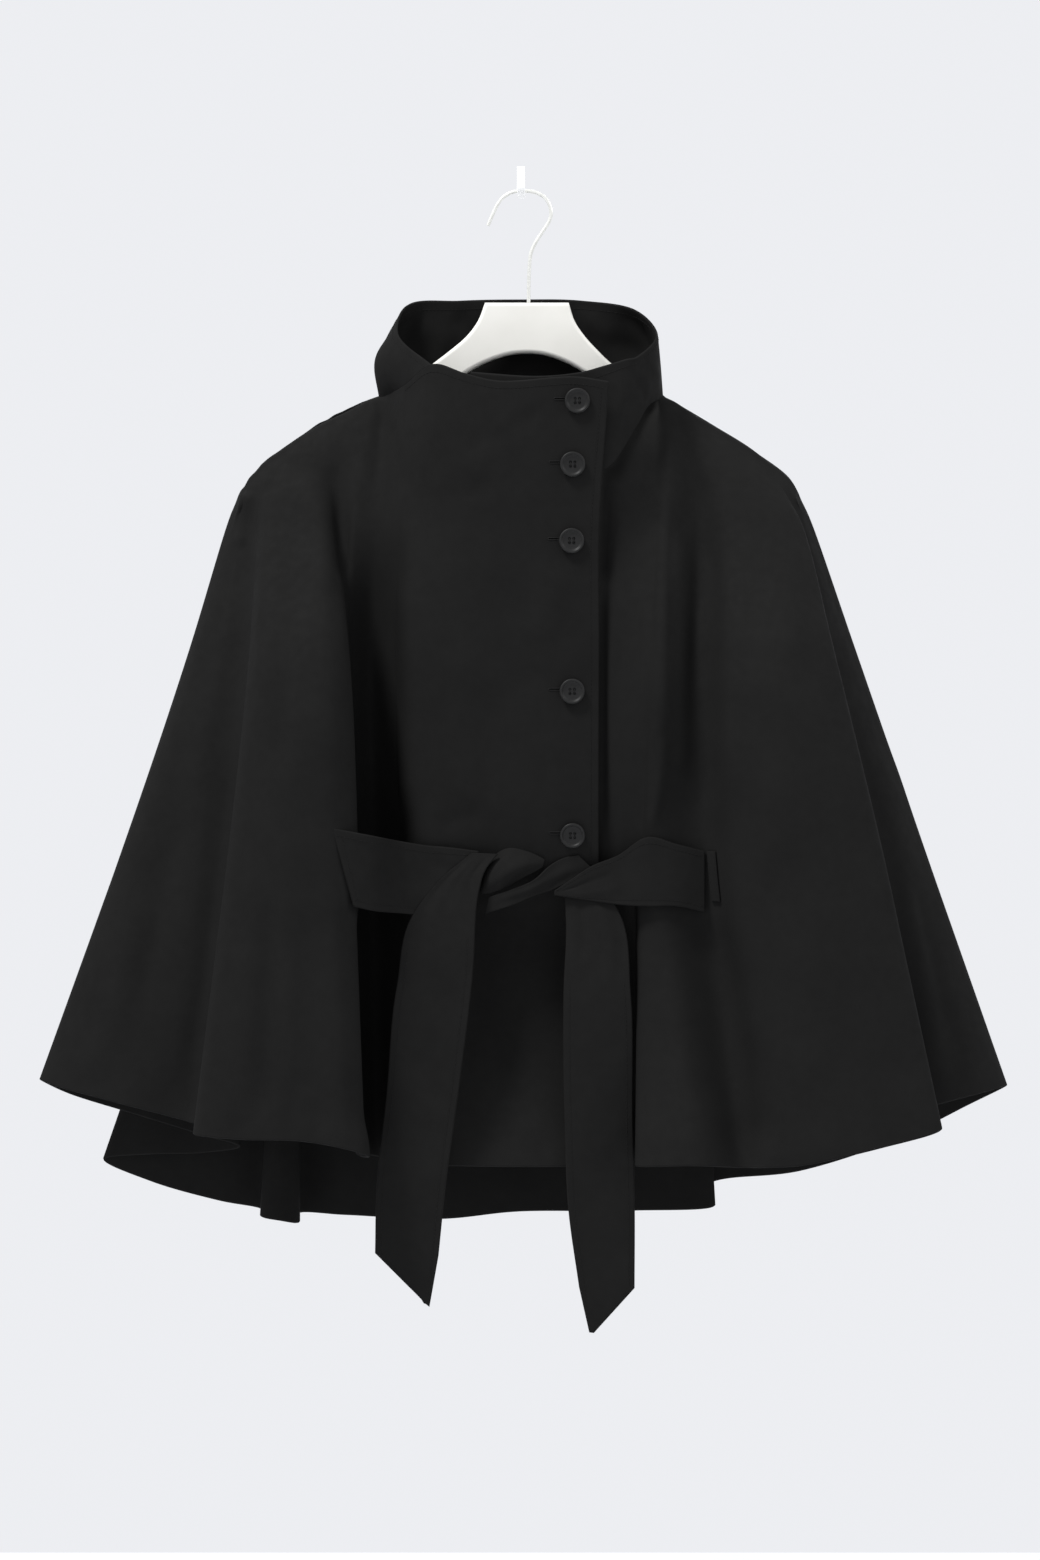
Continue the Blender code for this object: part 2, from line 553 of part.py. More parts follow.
def button(drape, name, x, z):
    """A turned button with a raised rim and four holes, facing out from the front."""
    seat, normal = surface_point(drape, x, z)
    seat = np.array([x, seat[1], z]) + normal * (WALL / 2 + BUTTON_LIFT)
    side = unit(np.cross(np.array([0.0, 0.0, 1.0]), normal))
    up = np.cross(normal, side)
    profile = [
        (BUTTON_RADIUS * 0.62, 0.0),
        (BUTTON_RADIUS * 0.96, BUTTON_HEIGHT * 0.35),
        (BUTTON_RADIUS, BUTTON_HEIGHT * 0.7),
        (BUTTON_RADIUS - BUTTON_RIM * 0.45, BUTTON_HEIGHT),
        (BUTTON_RADIUS - BUTTON_RIM, BUTTON_HEIGHT - BUTTON_DISH),
    ]
    turns = np.linspace(0.0, 2 * np.pi, BUTTON_SIDES, endpoint=False)
    points = []
    for radius, height in profile:
        for turn in turns:
            points.append(seat + side * radius * np.cos(turn) + up * radius * np.sin(turn) + normal * height)
    faces = [tuple(reversed(range(BUTTON_SIDES)))]
    for ring in range(len(profile) - 1):
        for index in range(BUTTON_SIDES):
            after = (index + 1) % BUTTON_SIDES
            a, b = ring * BUTTON_SIDES + index, ring * BUTTON_SIDES + after
            faces.append((a, b, b + BUTTON_SIDES, a + BUTTON_SIDES))
    faces.append(tuple(range((len(profile) - 1) * BUTTON_SIDES, len(profile) * BUTTON_SIDES)))
    disc = add_mesh(name, points, faces, BUTTON)
    turned_out(disc)
    for index in range(4):
        turn = np.pi / 4 + index * np.pi / 2
        centre = seat + (side * np.cos(turn) + up * np.sin(turn)) * BUTTON_HOLE_OFFSET
        ring_points = []
        for height in (-2.0, BUTTON_HEIGHT + 2.0):
            for step in range(BUTTON_HOLE_SIDES):
                angle = 2 * np.pi * step / BUTTON_HOLE_SIDES
                offset = side * np.cos(angle) + up * np.sin(angle)
                ring_points.append(centre + offset * BUTTON_HOLE_RADIUS + normal * height)
        sides = BUTTON_HOLE_SIDES
        walls = [(i, (i + 1) % sides, sides + (i + 1) % sides, sides + i) for i in range(sides)]
        walls += [tuple(reversed(range(sides))), tuple(range(sides, 2 * sides))]
        cutter = turned_out(add_mesh(f"{name}_cutter_{index + 1}", ring_points, walls, BUTTON))
        cutter.hide_render = True
        cutter.display_type = "WIRE"
        cut = disc.modifiers.new(f"hole_{index + 1}", "BOOLEAN")
        cut.object = cutter
        cut.operation = "DIFFERENCE"
    return disc


def slit_welt(drape):
    """The welt beside the slit that the belt enters, lying on the left front."""
    start, stop = drape.at(WELT_FOLDS[0]), drape.at(WELT_FOLDS[1])
    low, high = sorted((start, stop))
    first, last = WELT_SPAN
    across = np.linspace(mix(high, low, last), mix(high, low, first), 4)
    down = np.linspace(*WELT_ROWS, 6)
    middle, normals = drape.facets(*WELT_FOLDS[::-1], across, down)
    middle = middle + normals * (WALL / 2 + WELT_LIFT + WELT_WALL / 2)
    points, faces = wall_mesh(middle, normals, WELT_WALL)
    return add_mesh("slit_welt", points, faces, CLOTH)


def hanger():
    """The hanger's board: a neck plate and two arms, in one flat piece with rounded edges."""
    count = len(HANGER_OUTLINE)
    front, back = RIDGE_Y - HANGER_THICK / 2, RIDGE_Y + HANGER_THICK / 2
    points = [(x, front, z) for x, z in HANGER_OUTLINE] + [(x, back, z) for x, z in HANGER_OUTLINE]
    faces = [tuple(range(count)), tuple(reversed(range(count, 2 * count)))]
    for index in range(count):
        after = (index + 1) % count
        faces.append((after, index, count + index, count + after))
    board = turned_out(add_mesh("hanger", points, faces, HANGER))
    bevel = board.modifiers.new("rounded", "BEVEL")
    bevel.width = HANGER_BEVEL * MM
    bevel.segments = 2
    bevel.limit_method = "ANGLE"
    bevel.angle_limit = np.radians(60)
    bevel.use_clamp_overlap = True
    return board


def wire():
    """The hanger's wire hook: a round wire along its route, in the plane of the hanger."""
    made = bpy.data.curves.new("hanger_hook", "CURVE")
    made.dimensions = "3D"
    made.bevel_depth = WIRE_RADIUS * MM
    made.bevel_resolution = 2
    made.use_fill_caps = True
    route = np.array(WIRE_ROUTE, float)
    fine = curve(np.arange(len(route)), route, np.linspace(0, len(route) - 1, 2 * len(route) - 1))
    line = made.splines.new("POLY")
    line.points.add(len(fine) - 1)
    for point, (x, z) in zip(line.points, fine):
        point.co = (x * MM, RIDGE_Y * MM, z * MM, 1.0)
    made.materials.append(material(WIRE))
    hook = bpy.data.objects.new("hanger_hook", made)
    bpy.context.collection.objects.link(hook)
    return hook


def wall_hook():
    """The small hook on the wall: a flat leg against it, bent forward under the wire and up to a lip."""
    path = np.array(WALL_HOOK_PATH, float)
    half = WALL_HOOK_WIDTH / 2
    left = np.column_stack([np.full(len(path), -half), path])
    right = np.column_stack([np.full(len(path), half), path])
    middle = np.stack([left, right], axis=1)
    points, faces = wall_mesh(middle, grid_normals(middle), WALL_HOOK_THICK)
    return turned_out(add_mesh("wall_hook", points, faces, HOOK))


def build():
    clear_scene()
    drape = Drape()
    panel(drape, "front_right", "edge", "side_right", -1, False, True)
    panel(drape, "back", "side_right", "side_left", 1, True, True)
    panel(drape, "front_left", "side_left", "lap_edge", -1, True, False)
    collar(drape)
    band("belt_right", BELT_RIGHT, BELT_WALL)
    band("belt_left", BELT_LEFT, BELT_WALL)
    band("belt_inside", BELT_INSIDE, BELT_WALL, across=2)
    band("belt_tail_right", TAIL_RIGHT, BELT_WALL, straight=1)
    band("belt_tail_left", TAIL_LEFT, BELT_WALL, straight=1)
    band("belt_cross", BELT_CROSS, BELT_WALL)
    band("belt_knot", BELT_KNOT, BELT_WALL, across=7, crown=KNOT_CROWN)
    slit_welt(drape)
    for index, (x, z) in enumerate(BUTTONS):
        button(drape, f"button_{index + 1}", x, z)
    hanger()
    wire()
    wall_hook()


build()
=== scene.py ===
"""Looks of the cape trench jacket on its hanger and wall hook.

The jacket's sheet is made again from its folds, finer, with the small creases of the cloth, its weave and
its sewing. Sizes are in millimetres until a mesh is made. In the pieces' names left and right are the
wearer's.
"""

import bpy
import numpy as np
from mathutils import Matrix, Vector


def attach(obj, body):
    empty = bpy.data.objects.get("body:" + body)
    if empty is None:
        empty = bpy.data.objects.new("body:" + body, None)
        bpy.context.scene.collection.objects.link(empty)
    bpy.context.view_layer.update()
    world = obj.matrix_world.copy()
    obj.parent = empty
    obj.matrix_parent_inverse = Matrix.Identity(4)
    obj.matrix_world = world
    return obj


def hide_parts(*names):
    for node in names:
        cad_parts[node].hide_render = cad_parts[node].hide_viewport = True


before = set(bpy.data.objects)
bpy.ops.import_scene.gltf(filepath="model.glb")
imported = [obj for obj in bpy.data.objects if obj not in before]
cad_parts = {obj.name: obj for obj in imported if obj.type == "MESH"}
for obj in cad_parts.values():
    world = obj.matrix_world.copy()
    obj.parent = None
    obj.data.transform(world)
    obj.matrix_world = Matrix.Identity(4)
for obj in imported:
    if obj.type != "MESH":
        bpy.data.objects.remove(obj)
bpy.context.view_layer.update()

MM = 0.001

# Cloth
WALL = 2.0
BELT_WALL = 2.6
LIP = 0.5
SEAM_LIP = 0.1
RIM_LIP = 1.1
SEAM_HALF_GAP = 0.2
INSIDE_SHIFT = 0.0003
RIDGE_HALF_GAP = 0.05
UPPER_Z = -298.0
CHEST_Z = -391.0
BELT_Z = -586.0
RIDGE_Y = -24.0
RIDGE_REACH = 2.5
CROWN_OUT = 7.0
CROWN_DROP = 1.2
CAP_OUT = 13.0
CAP_DROP = 7.0
BACK_CAP_IN = 1.0
FREE_CROWN = 0.05
FREE_CAP = 0.15
LEVELS = [0.0, 0.012, 0.035, 0.18, 0.32, 0.6, 0.7, 1.0]

# Fineness
FRONT_STEP = 4.2
BACK_STEP = 5.0
TOP_ROWS = 9
DOWN_STEP = 0.0066

# Right front: fold, top x y z, upper x y, chest x y, belt x y, hem x y z
FRONT_RIGHT = [
    ("edge", 73, -112, -177.5, 65, -108, 65, -110, 65, -100, 69, -112, -833),
    ("panel_right", 44, -112, -173.5, 31, -110.5, 31, -112.5, 31, -100.5, 37, -112, -833),
    ("panel_mid", -18, -111, -177, -28, -112, -28, -114, -28, -101, -20, -112, -833),
    ("panel_left", -46, -106, -170.5, -58, -109, -58, -114, -57, -102.5, -50, -111, -832.5),
    ("panel_turn", -74, -98, -161.5, -88, -101, -89, -112, -86, -104, -80, -108, -832),
    ("valley_in", -98, -74, -176, -104, -86, -106, -83, -103, -74, -104, -70, -832),
    ("valley", -112.5, -42, -180.5, -122, -72, -127, -62, -125, -52, -124, -52, -830),
    ("valley_out", -127, -24, -183, -142, -71, -143, -78, -142, -72, -138, -80, -825),
    ("wing_under", -151, -24, -195, -153, -70, -147, -100, -141, -112, -132, -130, -823),
    ("wing_edge", -168, -24, -203, -161, -78, -146, -124, -136, -140, -126, -158, -820),
    ("wing_1", -184, -24, -212, -174, -82, -158, -138, -153, -156, -142, -172, -813),
    ("wing_2", -199, -24, -222, -191, -82, -185, -138, -182, -160, -181, -172, -806),
    ("wing_3", -210, -24, -230, -207, -76, -211, -128, -219, -154, -231, -168, -805),
    ("wing_corner", -221, -24, -238, -220, -66, -224, -112, -243, -140, -268, -160, -802),
    ("step_in", -226, -24, -244, -225, -56, -227, -90, -242, -106, -265, -120, -800),
    ("step_back", -232, -24, -250, -231, -48, -234, -74, -253, -90, -278, -98, -797),
    ("outer_mid", -236, -24, -257, -240, -42, -254, -62, -291, -80, -337, -92, -782),
    ("outer_end", -240, -24, -262, -249, -34, -274, -50, -335, -64, -390, -72, -770),
    ("side_right", -242, -24, -266, -254, -24, -281, -34, -345, -48, -409, -55, -765),
]

# Back: fold, top x y z, belt x y, hem x y z
BACK = [
    ("return_1", -239, -24, -262, -330, -36, -386, -40, -778),
    ("return_2", -234, -24, -253, -302, -36, -334, -42, -794),
    ("return_3", -228, -24, -246, -272, -36, -274, -46, -812),
    ("tuck_turn", -221, -24, -238, -252, -30, -241, -38, -824),
    ("tuck_back", -215, -24, -233, -255, -22, -276, -26, -830),
    ("tuck_mid", -209, -24, -229, -266, -19, -319, -27, -831),
    ("tuck_edge", -202, -24, -224, -273, -13, -359, -18, -836),
    ("back_1", -193, -24, -218, -255, -8, -320, -8, -856),
    ("back_2", -183, -24, -211, -225, -8, -260, -8, -873),
    ("roll_in", -173, -24, -204, -208, -8, -224, -9, -880),
    ("roll_left", -166, -24, -201, -206, -14, -222, -34, -884),
    ("roll_mid", -160, -24, -197, -199, -17, -206, -44, -886),
    ("roll_right", -153, -24, -194, -192, -14, -191, -34, -889),
    ("roll_out", -147, -24, -191, -190, -8, -193, -9, -884),
    ("neck_right", -113, -16, -176.5, -148, -9, -152, -10, -885),
    ("back_3", -70, -9, -175, -70, -9, -70, -14, -888),
    ("back_centre", -1, -9, -173, -1, -9, -1, -10, -882),
    ("back_4", 68, -9, -175, 77, -9, 94, -13, -881),
    ("neck_left", 113, -16, -177, 154, -16, 166, -26, -874),
    ("pleat_in", 126, -24, -183, 157, -11, 146, -14, -865),
    ("pleat_out", 140, -24, -191, 165, -8, 168, -7, -856),
    ("back_5", 170, -24, -209, 224, -8, 241, -10, -847),
    ("back_6", 201, -24, -229, 284, -14, 326, -20, -818),
    ("back_7", 228, -24, -249, 329, -30, 384, -38, -787),
]

# Left front, from the side seam to the edge under the right front: columns as in the right front
FRONT_LEFT = [
    ("side_left", 237, -24, -263, 252, -24, 283, -34, 349, -48, 413, -55, -770),
    ("outer_1", 235, -24, -259, 248, -34, 276, -50, 339, -66, 392, -82, -773),
    ("outer_2", 232, -24, -254, 244, -42, 268, -62, 323, -80, 361, -92, -780),
    ("step_back_left", 228, -24, -249, 240, -48, 258, -74, 305, -90, 340, -95, -786),
    ("step_in_left", 221, -24, -243, 237, -56, 253, -90, 295, -106, 329, -120, -792),
    ("corner_left", 212, -24, -237, 239, -66, 258, -112, 302, -140, 346, -158, -798),
    ("broad_1", 193, -24, -223, 223, -76, 232, -130, 261, -156, 295, -170, -812),
    ("broad_2", 170, -24, -209, 206, -82, 208, -136, 221, -160, 237, -172, -825),
    ("trough_out", 154, -24, -200, 175, -80, 172, -126, 180, -142, 205, -158, -829),
    ("trough", 140, -24, -191, 150, -66, 148, -98, 156, -112, 183, -140, -831),
    ("ridge", 126, -24, -183, 124, -88, 118, -122, 112, -116, 139, -165, -827),
    ("tail_edge", 111.6, -40, -177.4, 114, -88, 107, -117, 101, -109, 96, -150, -829),
    ("under", 102, -58, -191, 104, -89, 98, -111, 94, -102, 110, -100, -829),
    ("valley_left", 94, -74, -205, 95, -91, 88, -107, 86, -98, 102, -70, -831),
    ("valley_in_left", 85, -86, -220, 83, -94, 76, -105, 76, -95, 80, -80, -832),
    ("lap_start", 71, -98, -241, 62, -100, 62, -103, 60, -92, 62, -94, -830),
    ("lap_flat", 45, -98, -249, 40, -100.5, 40, -103.5, 38, -92, 42, -102, -830),
    ("lap_mid", 5, -98, -257, -3, -100.5, -4, -103.5, -8, -92, -10, -103.5, -830),
    ("lap_edge", -50, -98, -265, -50, -100, -51, -103, -58, -92, -68, -104, -830),
]

# Creases of the sheet between two folds: from x z, to x z, bow, width, depth; above 0 is a ridge
CREASES = {
    # The buttoned panel, the last under the belt, which gathers the cloth
    ("edge", "panel_turn"): [
        (20, -196, -48, -232, 5, 7, -1.1), (-6, -208, -40, -262, -7, 9, 0.9),
        (-20, -262, -72, -270, 4, 9, -1.0), (30, -330, 8, -396, 7, 12, 1.1),
        (24, -418, -34, -470, -8, 13, -1.0), (18, -470, 30, -540, 5, 11, 0.8),
        (-58, -396, -46, -540, 5, 15, 1.4), (-30, -420, -22, -536, -4, 12, -1.0),
        (-70, -552, -30, -538, 3, 8, -1.2), (0, -700, 12, -820, 4, 14, 1.4),
        (-38, -650, -44, -826, -4, 12, -1.6), (36, -640, 40, -828, 3, 12, -1.2),
        (-64, -645, 66, -645, 0, 26, -6.0),
    ],
    ("panel_turn", "valley_in"): [(-96, -210, -92, -300, 3, 9, -0.8)],
    ("panel_left", "valley_in"): [(-97, -330, -94, -546, 0, 10, 3.0)],
    # The neck's dart
    ("panel_turn", "valley"): [
        (-118, -188, -106, -222, -2, 1.3, -0.6), (-110, -204, -92, -272, -3, 5.0, -0.7),
    ],
    # The right wing
    ("valley_out", "wing_2"): [(-164, -238, -146, -345, 2, 9, -3.4)],
    ("wing_under", "wing_corner"): [(-184, -246, -162, -360, 2, 9, 2.6)],
    ("wing_under", "wing_2"): [(-166, -250, -156, -500, -5, 9, 2.2), (-140, -600, -128, -816, 0, 16, -4.0)],
    ("wing_1", "wing_corner"): [
        (-196, -270, -200, -520, 4, 12, -3.2), (-178, -430, -190, -640, -6, 15, 1.6),
        (-210, -590, -216, -803, 4, 10, -2.6), (-168, -610, -160, -808, -4, 14, -2.0),
    ],
    ("wing_1", "wing_3"): [(-192, -600, -196, -806, 3, 10, 2.0), (-176, -760, -186, -812, 3, 9, 2.0)],
    ("wing_2", "step_in"): [(-215, -262, -220, -400, 2, 5, 2.0)],
    ("wing_2", "wing_corner"): [(-226, -640, -240, -800, 5, 13, 2.4)],
    ("wing_corner", "outer_end"): [(-232, -262, -238, -312, 0, 7, 3.0)],
    ("step_back", "side_right"): [
        (-252, -360, -292, -560, 6, 12, 2.0), (-284, -500, -322, -772, -6, 16, -2.8),
        (-262, -470, -296, -780, 5, 12, 1.8),
    ],
    ("outer_mid", "side_right"): [(-322, -600, -366, -770, 5, 14, 2.2)],
    # The back, with the same kind of soft folds
    ("return_1", "return_3"): [(-300, -560, -336, -780, 5, 13, 2.0)],
    ("back_1", "roll_in"): [(-210, -330, -286, -850, 8, 16, 2.0)],
    ("back_1", "back_7"): [
        (-120, -220, -150, -520, 10, 16, 2.2), (-70, -260, -92, -860, -8, 20, 2.6),
        (-36, -330, -40, -700, 6, 15, -2.0), (-10, -420, -6, -872, -5, 18, 2.2),
        (34, -240, 40, -620, 7, 16, -2.2), (58, -380, 70, -868, -6, 19, 2.4),
        (104, -230, 128, -560, 8, 15, 2.0), (118, -520, 122, -862, 5, 16, -2.2),
        (190, -300, 262, -800, 10, 18, 2.4), (214, -330, 318, -790, -8, 16, -2.0),
        (-60, -580, 70, -592, -5, 11, -1.6), (80, -566, 150, -600, 4, 10, -1.4),
        (-140, -600, -70, -576, 5, 10, -1.4),
    ],
    # The left wing
    ("outer_1", "step_back_left"): [(262, -380, 300, -560, -5, 11, -1.6)],
    ("side_left", "step_back_left"): [(300, -470, 352, -772, 5, 14, 2.4)],
    ("side_left", "outer_2"): [(330, -590, 380, -770, -5, 12, -2.0)],
    ("corner_left", "trough_out"): [
        (214, -260, 226, -420, 4, 11, 1.6), (196, -300, 206, -520, -6, 13, -1.6),
        (238, -420, 268, -700, 6, 17, 1.6), (212, -560, 250, -818, -6, 18, -2.8),
        (262, -600, 300, -808, 5, 15, 2.0),
    ],
    ("broad_2", "ridge"): [(158, -290, 157, -540, 3, 10, -3.2)],
    ("broad_2", "tail_edge"): [(150, -620, 200, -826, 4, 17, -4.6)],
    ("trough_out", "ridge"): [(134, -290, 133, -520, 0, 8, 2.6)],
    ("trough_out", "tail_edge"): [(126, -650, 146, -824, -4, 12, 1.4)],
    ("trough_out", "under"): [(121, -256, 119, -484, -2, 5, 2.2)],
    ("trough", "under"): [(118, -470, 106, -556, 3, 4.5, 2.0)],
    # Beside the collar's end and the right front's edge
    ("ridge", "lap_flat"): [(116, -178, 72, -262, 0, 7, -8.0)],
    ("tail_edge", "lap_flat"): [(71, -226, 69, -350, 0, 7, -7.0), (69, -330, 68, -570, 0, 4.5, -4.0)],
    # The underlap, under the belt and between its tails
    ("under", "lap_edge"): [(-50, -645, 80, -645, 0, 26, -6.0)],
    ("lap_start", "lap_edge"): [(20, -650, 34, -822, 5, 14, 1.8), (-20, -640, -30, -824, -4, 14, -1.6)],
}
# How a crease fades: share of its length at each end, and distance across from the folds that bound it
CREASE_FADE = 0.16
FOLD_FADE = 1.5

# Below the belt, which gathers the front: how far each fold falls back there
HOLLOW_SHARE = 0.25
HOLLOWS = {
    "edge": 22, "panel_right": 23, "panel_mid": 23, "panel_left": 16, "panel_turn": 6, "trough_out": 2,
    "trough": 7, "ridge": 11, "tail_edge": 11, "under": 14, "valley_left": 12, "valley_in_left": 12,
    "lap_start": 20, "lap_flat": 22, "lap_mid": 22, "lap_edge": 22,
}

# Funnel collar: station, base x y z, middle x y z, rim x y z
COLLAR = [
    ("front_seam", -113, -40, -179.5, -99.5, -72, -174, -76, -97, -160),
    ("side_right", -121, -26, -182.5, -124, -40, -151, -105, -57, -131.5),
    ("back_right", -113.5, -16, -181, -113, -14, -140, -98, -22, -102.5),
    ("back_mid_right", -70, -9, -175.5, -62, -6, -135, -53, -8, -97),
    ("back_centre", -1, -9, -173.5, -1, -5.5, -134, -1, -8, -96),
    ("back_mid_left", 68, -9, -175.5, 62, -6, -135, 53, -8, -97),
    ("back_left", 114, -16, -181.5, 111, -14, -140, 99, -24, -107),
    ("side_left", 121, -27, -182, 118, -48, -153, 115.5, -58, -131.5),
    ("front_1", 107, -62, -192.5, 108, -74, -172, 98.5, -86, -153.5),
    ("front_2", 96, -79, -212, 93, -90, -184, 88, -92, -157),
    ("front_3", 73, -101.5, -247, 76, -100, -200, 70, -98, -163),
    ("under_1", 40, -104, -259, 42, -103, -212, 48, -101, -169),
    ("under_2", 0, -104, -268, 5, -103, -216, 12, -101, -172),
    ("under_end", -46, -102, -272, -45, -99, -220, -42, -96, -168),
]
# Where the collar's seam starts along the right front's top, and over how many stations it is drawn to it
COLLAR_SEAM_START = 0.06
COLLAR_BLEND = 1.0
# Steps from one station to the next, and rows from the rim to the base
COLLAR_STEPS = 14
COLLAR_ROWS = 24
# Creases of the collar: from station and share up, to station and share up, width and depth
COLLAR_CREASES = [
    (1.2, 0.15, 1.6, 0.85, 0.16, -1.4),
    (1.7, 0.3, 2.5, 0.85, 0.15, 2.2),
    (2.3, 0.75, 3.1, 0.45, 0.16, -2.2),
    (2.9, 0.85, 3.5, 0.5, 0.14, 1.4),
    (4.8, 0.85, 5.6, 0.45, 0.16, -2.2),
    (5.2, 0.6, 5.9, 0.3, 0.14, 2.4),
    (5.5, 0.9, 6.2, 0.6, 0.14, 1.8),
    (6.3, 0.3, 6.9, 0.75, 0.14, -1.2),
    (7.3, 0.15, 7.9, 0.8, 0.15, 1.1),
    (8.2, 0.2, 8.9, 0.7, 0.15, -1.0),
]
COLLAR_BOW = 0.05
COLLAR_FADE = 0.3
# How they fade over the collar's base, its rim and its front seam
BASE_FADE = 0.2
RIM_FADE = 0.1
RIM_LEAST = 0.2
SEAM_FADE = 0.3

# Belt: each row is x and y of the top edge, x and y of the bottom edge, z of the top, z of the bottom
BELT_RIGHT = [
    ("slit", -156, -155.5, -138, -153, -550, -614),
    ("bridge", -126, -146, -122, -142, -556, -618),
    ("ridge", -98, -119, -98, -119, -562, -621),
    ("chest", -80, -113.4, -80, -114, -565, -623),
    ("under_tail", -58, -112.4, -58, -112.4, -567, -622),
    ("knot", -36, -110.4, -36, -110, -570, -609),
]
BELT_LEFT = [
    ("knot", 28, -111.2, 28, -111.2, -603, -606),
    ("cross", 42, -110.4, 42, -110.6, -593.6, -608.2),
    ("lap", 58, -110, 58, -110.5, -583, -610.6),
    ("edge", 80, -111.5, 78, -112.5, -574, -613.4),
    ("ridge", 106, -120.2, 106, -120.4, -558, -615),
    ("chest", 130, -119.5, 130, -120.5, -564, -615),
    ("slit", 153, -114, 153, -115, -570, -620),
]
BELT_INSIDE = [
    ("slit_right", -160, -153.5, -158, -152.5, -552, -614),
    ("wing", -170, -118, -170, -118, -553, -614),
    ("turn_right", -166, -66, -166, -66, -554, -615),
    ("back_right", -146, -37, -146, -37, -555, -616),
    ("back_mid_right", -80, -27, -80, -27, -556, -617),
    ("back_centre", 0, -24, 0, -24, -557, -618),
    ("back_mid_left", 80, -27, 80, -27, -558, -619),
    ("back_left", 146, -42, 146, -42, -560, -620),
    ("turn_left", 170, -80, 170, -80, -562, -620),
    ("slit_left", 159.4, -112.7, 159.4, -110.2, -564, -620),
]
# Tails: each row is x and y of one long edge, x and y of the other, and the z of both
TAIL_RIGHT = [
    ("knot", -41, -112, -20, -114, -571, -572),
    ("gather", -66, -113.4, -30.5, -117, -592, -586),
    ("spread", -88, -116.5, -36, -120.5, -619, -605),
    ("upper", -103, -122, -40.5, -126, -681, -670),
    ("middle", -112, -120, -53, -128, -773, -773),
    ("hem", -120, -120, -63.5, -126, -850, -850),
    ("end", -121.2, -120, -69.3, -124, -904.6, -906),
    ("tip", -80, -122, -76.8, -122.5, -945.5, -948.5),
]
TAIL_LEFT = [
    ("knot", 36, -106, 72, -107.5, -600, -603),
    ("spread", 38, -108.5, 84, -110.5, -626, -626),
    ("upper", 36, -118, 91, -117, -687, -687),
    ("middle", 37, -121, 93, -119, -802, -802),
    ("hem", 40, -122, 94.3, -120, -868, -868),
    ("end", 48.8, -123, 94.1, -121, -932, -933.6),
    ("tip", 57.3, -123.5, 60.3, -123, -970, -970.5),
]
BELT_CROSS = [
    ("left_end", -27, -111.5, -30, -111.5, -608.5, -621.5),
    ("left", -7, -116, -10, -115.5, -601.5, -615),
    ("middle", 12, -113, 13, -112.6, -593, -605.8),
    ("right", 23, -107.8, 26, -107.4, -583, -602),
    ("far", 34, -105.4, 41, -105.6, -576.5, -595),
    ("end", 48, -105.4, 61, -105, -573, -586),
]
BELT_KNOT = [
    ("low_end", -33, -110.5, -32.5, -111, -600, -605),
    ("rise", -29, -106.5, -26, -111.5, -583.5, -604),
    ("crest", -13, -105.4, -13, -112, -568.5, -599.5),
    ("run", 6, -105.4, 3, -110.5, -571, -590.5),
    ("tip", 19.5, -106.2, 17.5, -108.6, -577, -583),
]
KNOT_CROWN = 10.0
# Creases of a band: from share along and across, to share along and across, width and depth in mm
RIGHT_BAND_CREASES = [
    (0.05, 0.1, 0.5, 0.35, 5, -0.9), (0.35, 0.8, 0.9, 0.55, 6, 0.9), (0.6, 0.15, 0.98, 0.4, 5, -1.0),
]
LEFT_BAND_CREASES = [
    (0.02, 0.5, 0.45, 0.3, 4, -1.0), (0.1, 0.85, 0.5, 0.6, 4, 0.8), (0.35, 0.2, 0.62, 0.9, 7, 0.9),
    (0.62, 0.1, 0.9, 0.45, 6, -0.8),
]
RIGHT_TAIL_CREASES = [
    (0.0, 0.7, 0.24, 0.86, 4, -1.3), (0.0, 0.35, 0.3, 0.3, 5, 1.1), (0.02, 0.15, 0.2, 0.1, 4, -1.0),
    (0.22, 0.3, 0.34, 0.8, 9, 0.9), (0.45, 0.2, 0.58, 0.9, 10, -0.8), (0.68, 0.8, 0.8, 0.25, 10, 0.7),
]
LEFT_TAIL_CREASES = [
    (0.0, 0.3, 0.18, 0.22, 4, -1.3), (0.0, 0.62, 0.24, 0.7, 5, 1.1), (0.04, 0.85, 0.2, 0.92, 4, -0.9),
    (0.25, 0.2, 0.4, 0.75, 10, -0.8), (0.5, 0.85, 0.62, 0.3, 10, 0.8), (0.74, 0.25, 0.86, 0.8, 9, -0.7),
]
CROSS_CREASES = [(0.05, 0.3, 0.95, 0.5, 3, 1.0), (0.3, 0.75, 0.98, 0.8, 2.5, -0.7)]
INSIDE_CREASES = [(0.2, 0.3, 0.5, 0.6, 9, 0.8), (0.5, 0.7, 0.8, 0.35, 9, -0.8)]
KNOT_CREASES = [
    (0.18, 0.55, 0.75, 0.15, 3.0, -1.2), (0.25, 0.8, 0.85, 0.45, 3.0, 1.0),
    (0.35, 0.95, 0.95, 0.75, 2.6, -0.9),
]
BAND_BOW = 0.3
BAND_FADE = 0.25

# Buttons: x and z of each centre on the right front
BUTTONS = [(47, -193), (43, -246), (42, -310), (42.5, -436), (43, -556)]
BUTTON_RADIUS = 10.6
BUTTON_LIFT = 0.7
BUTTON_SIDES = 56
BUTTON_SHARP = np.radians(40)
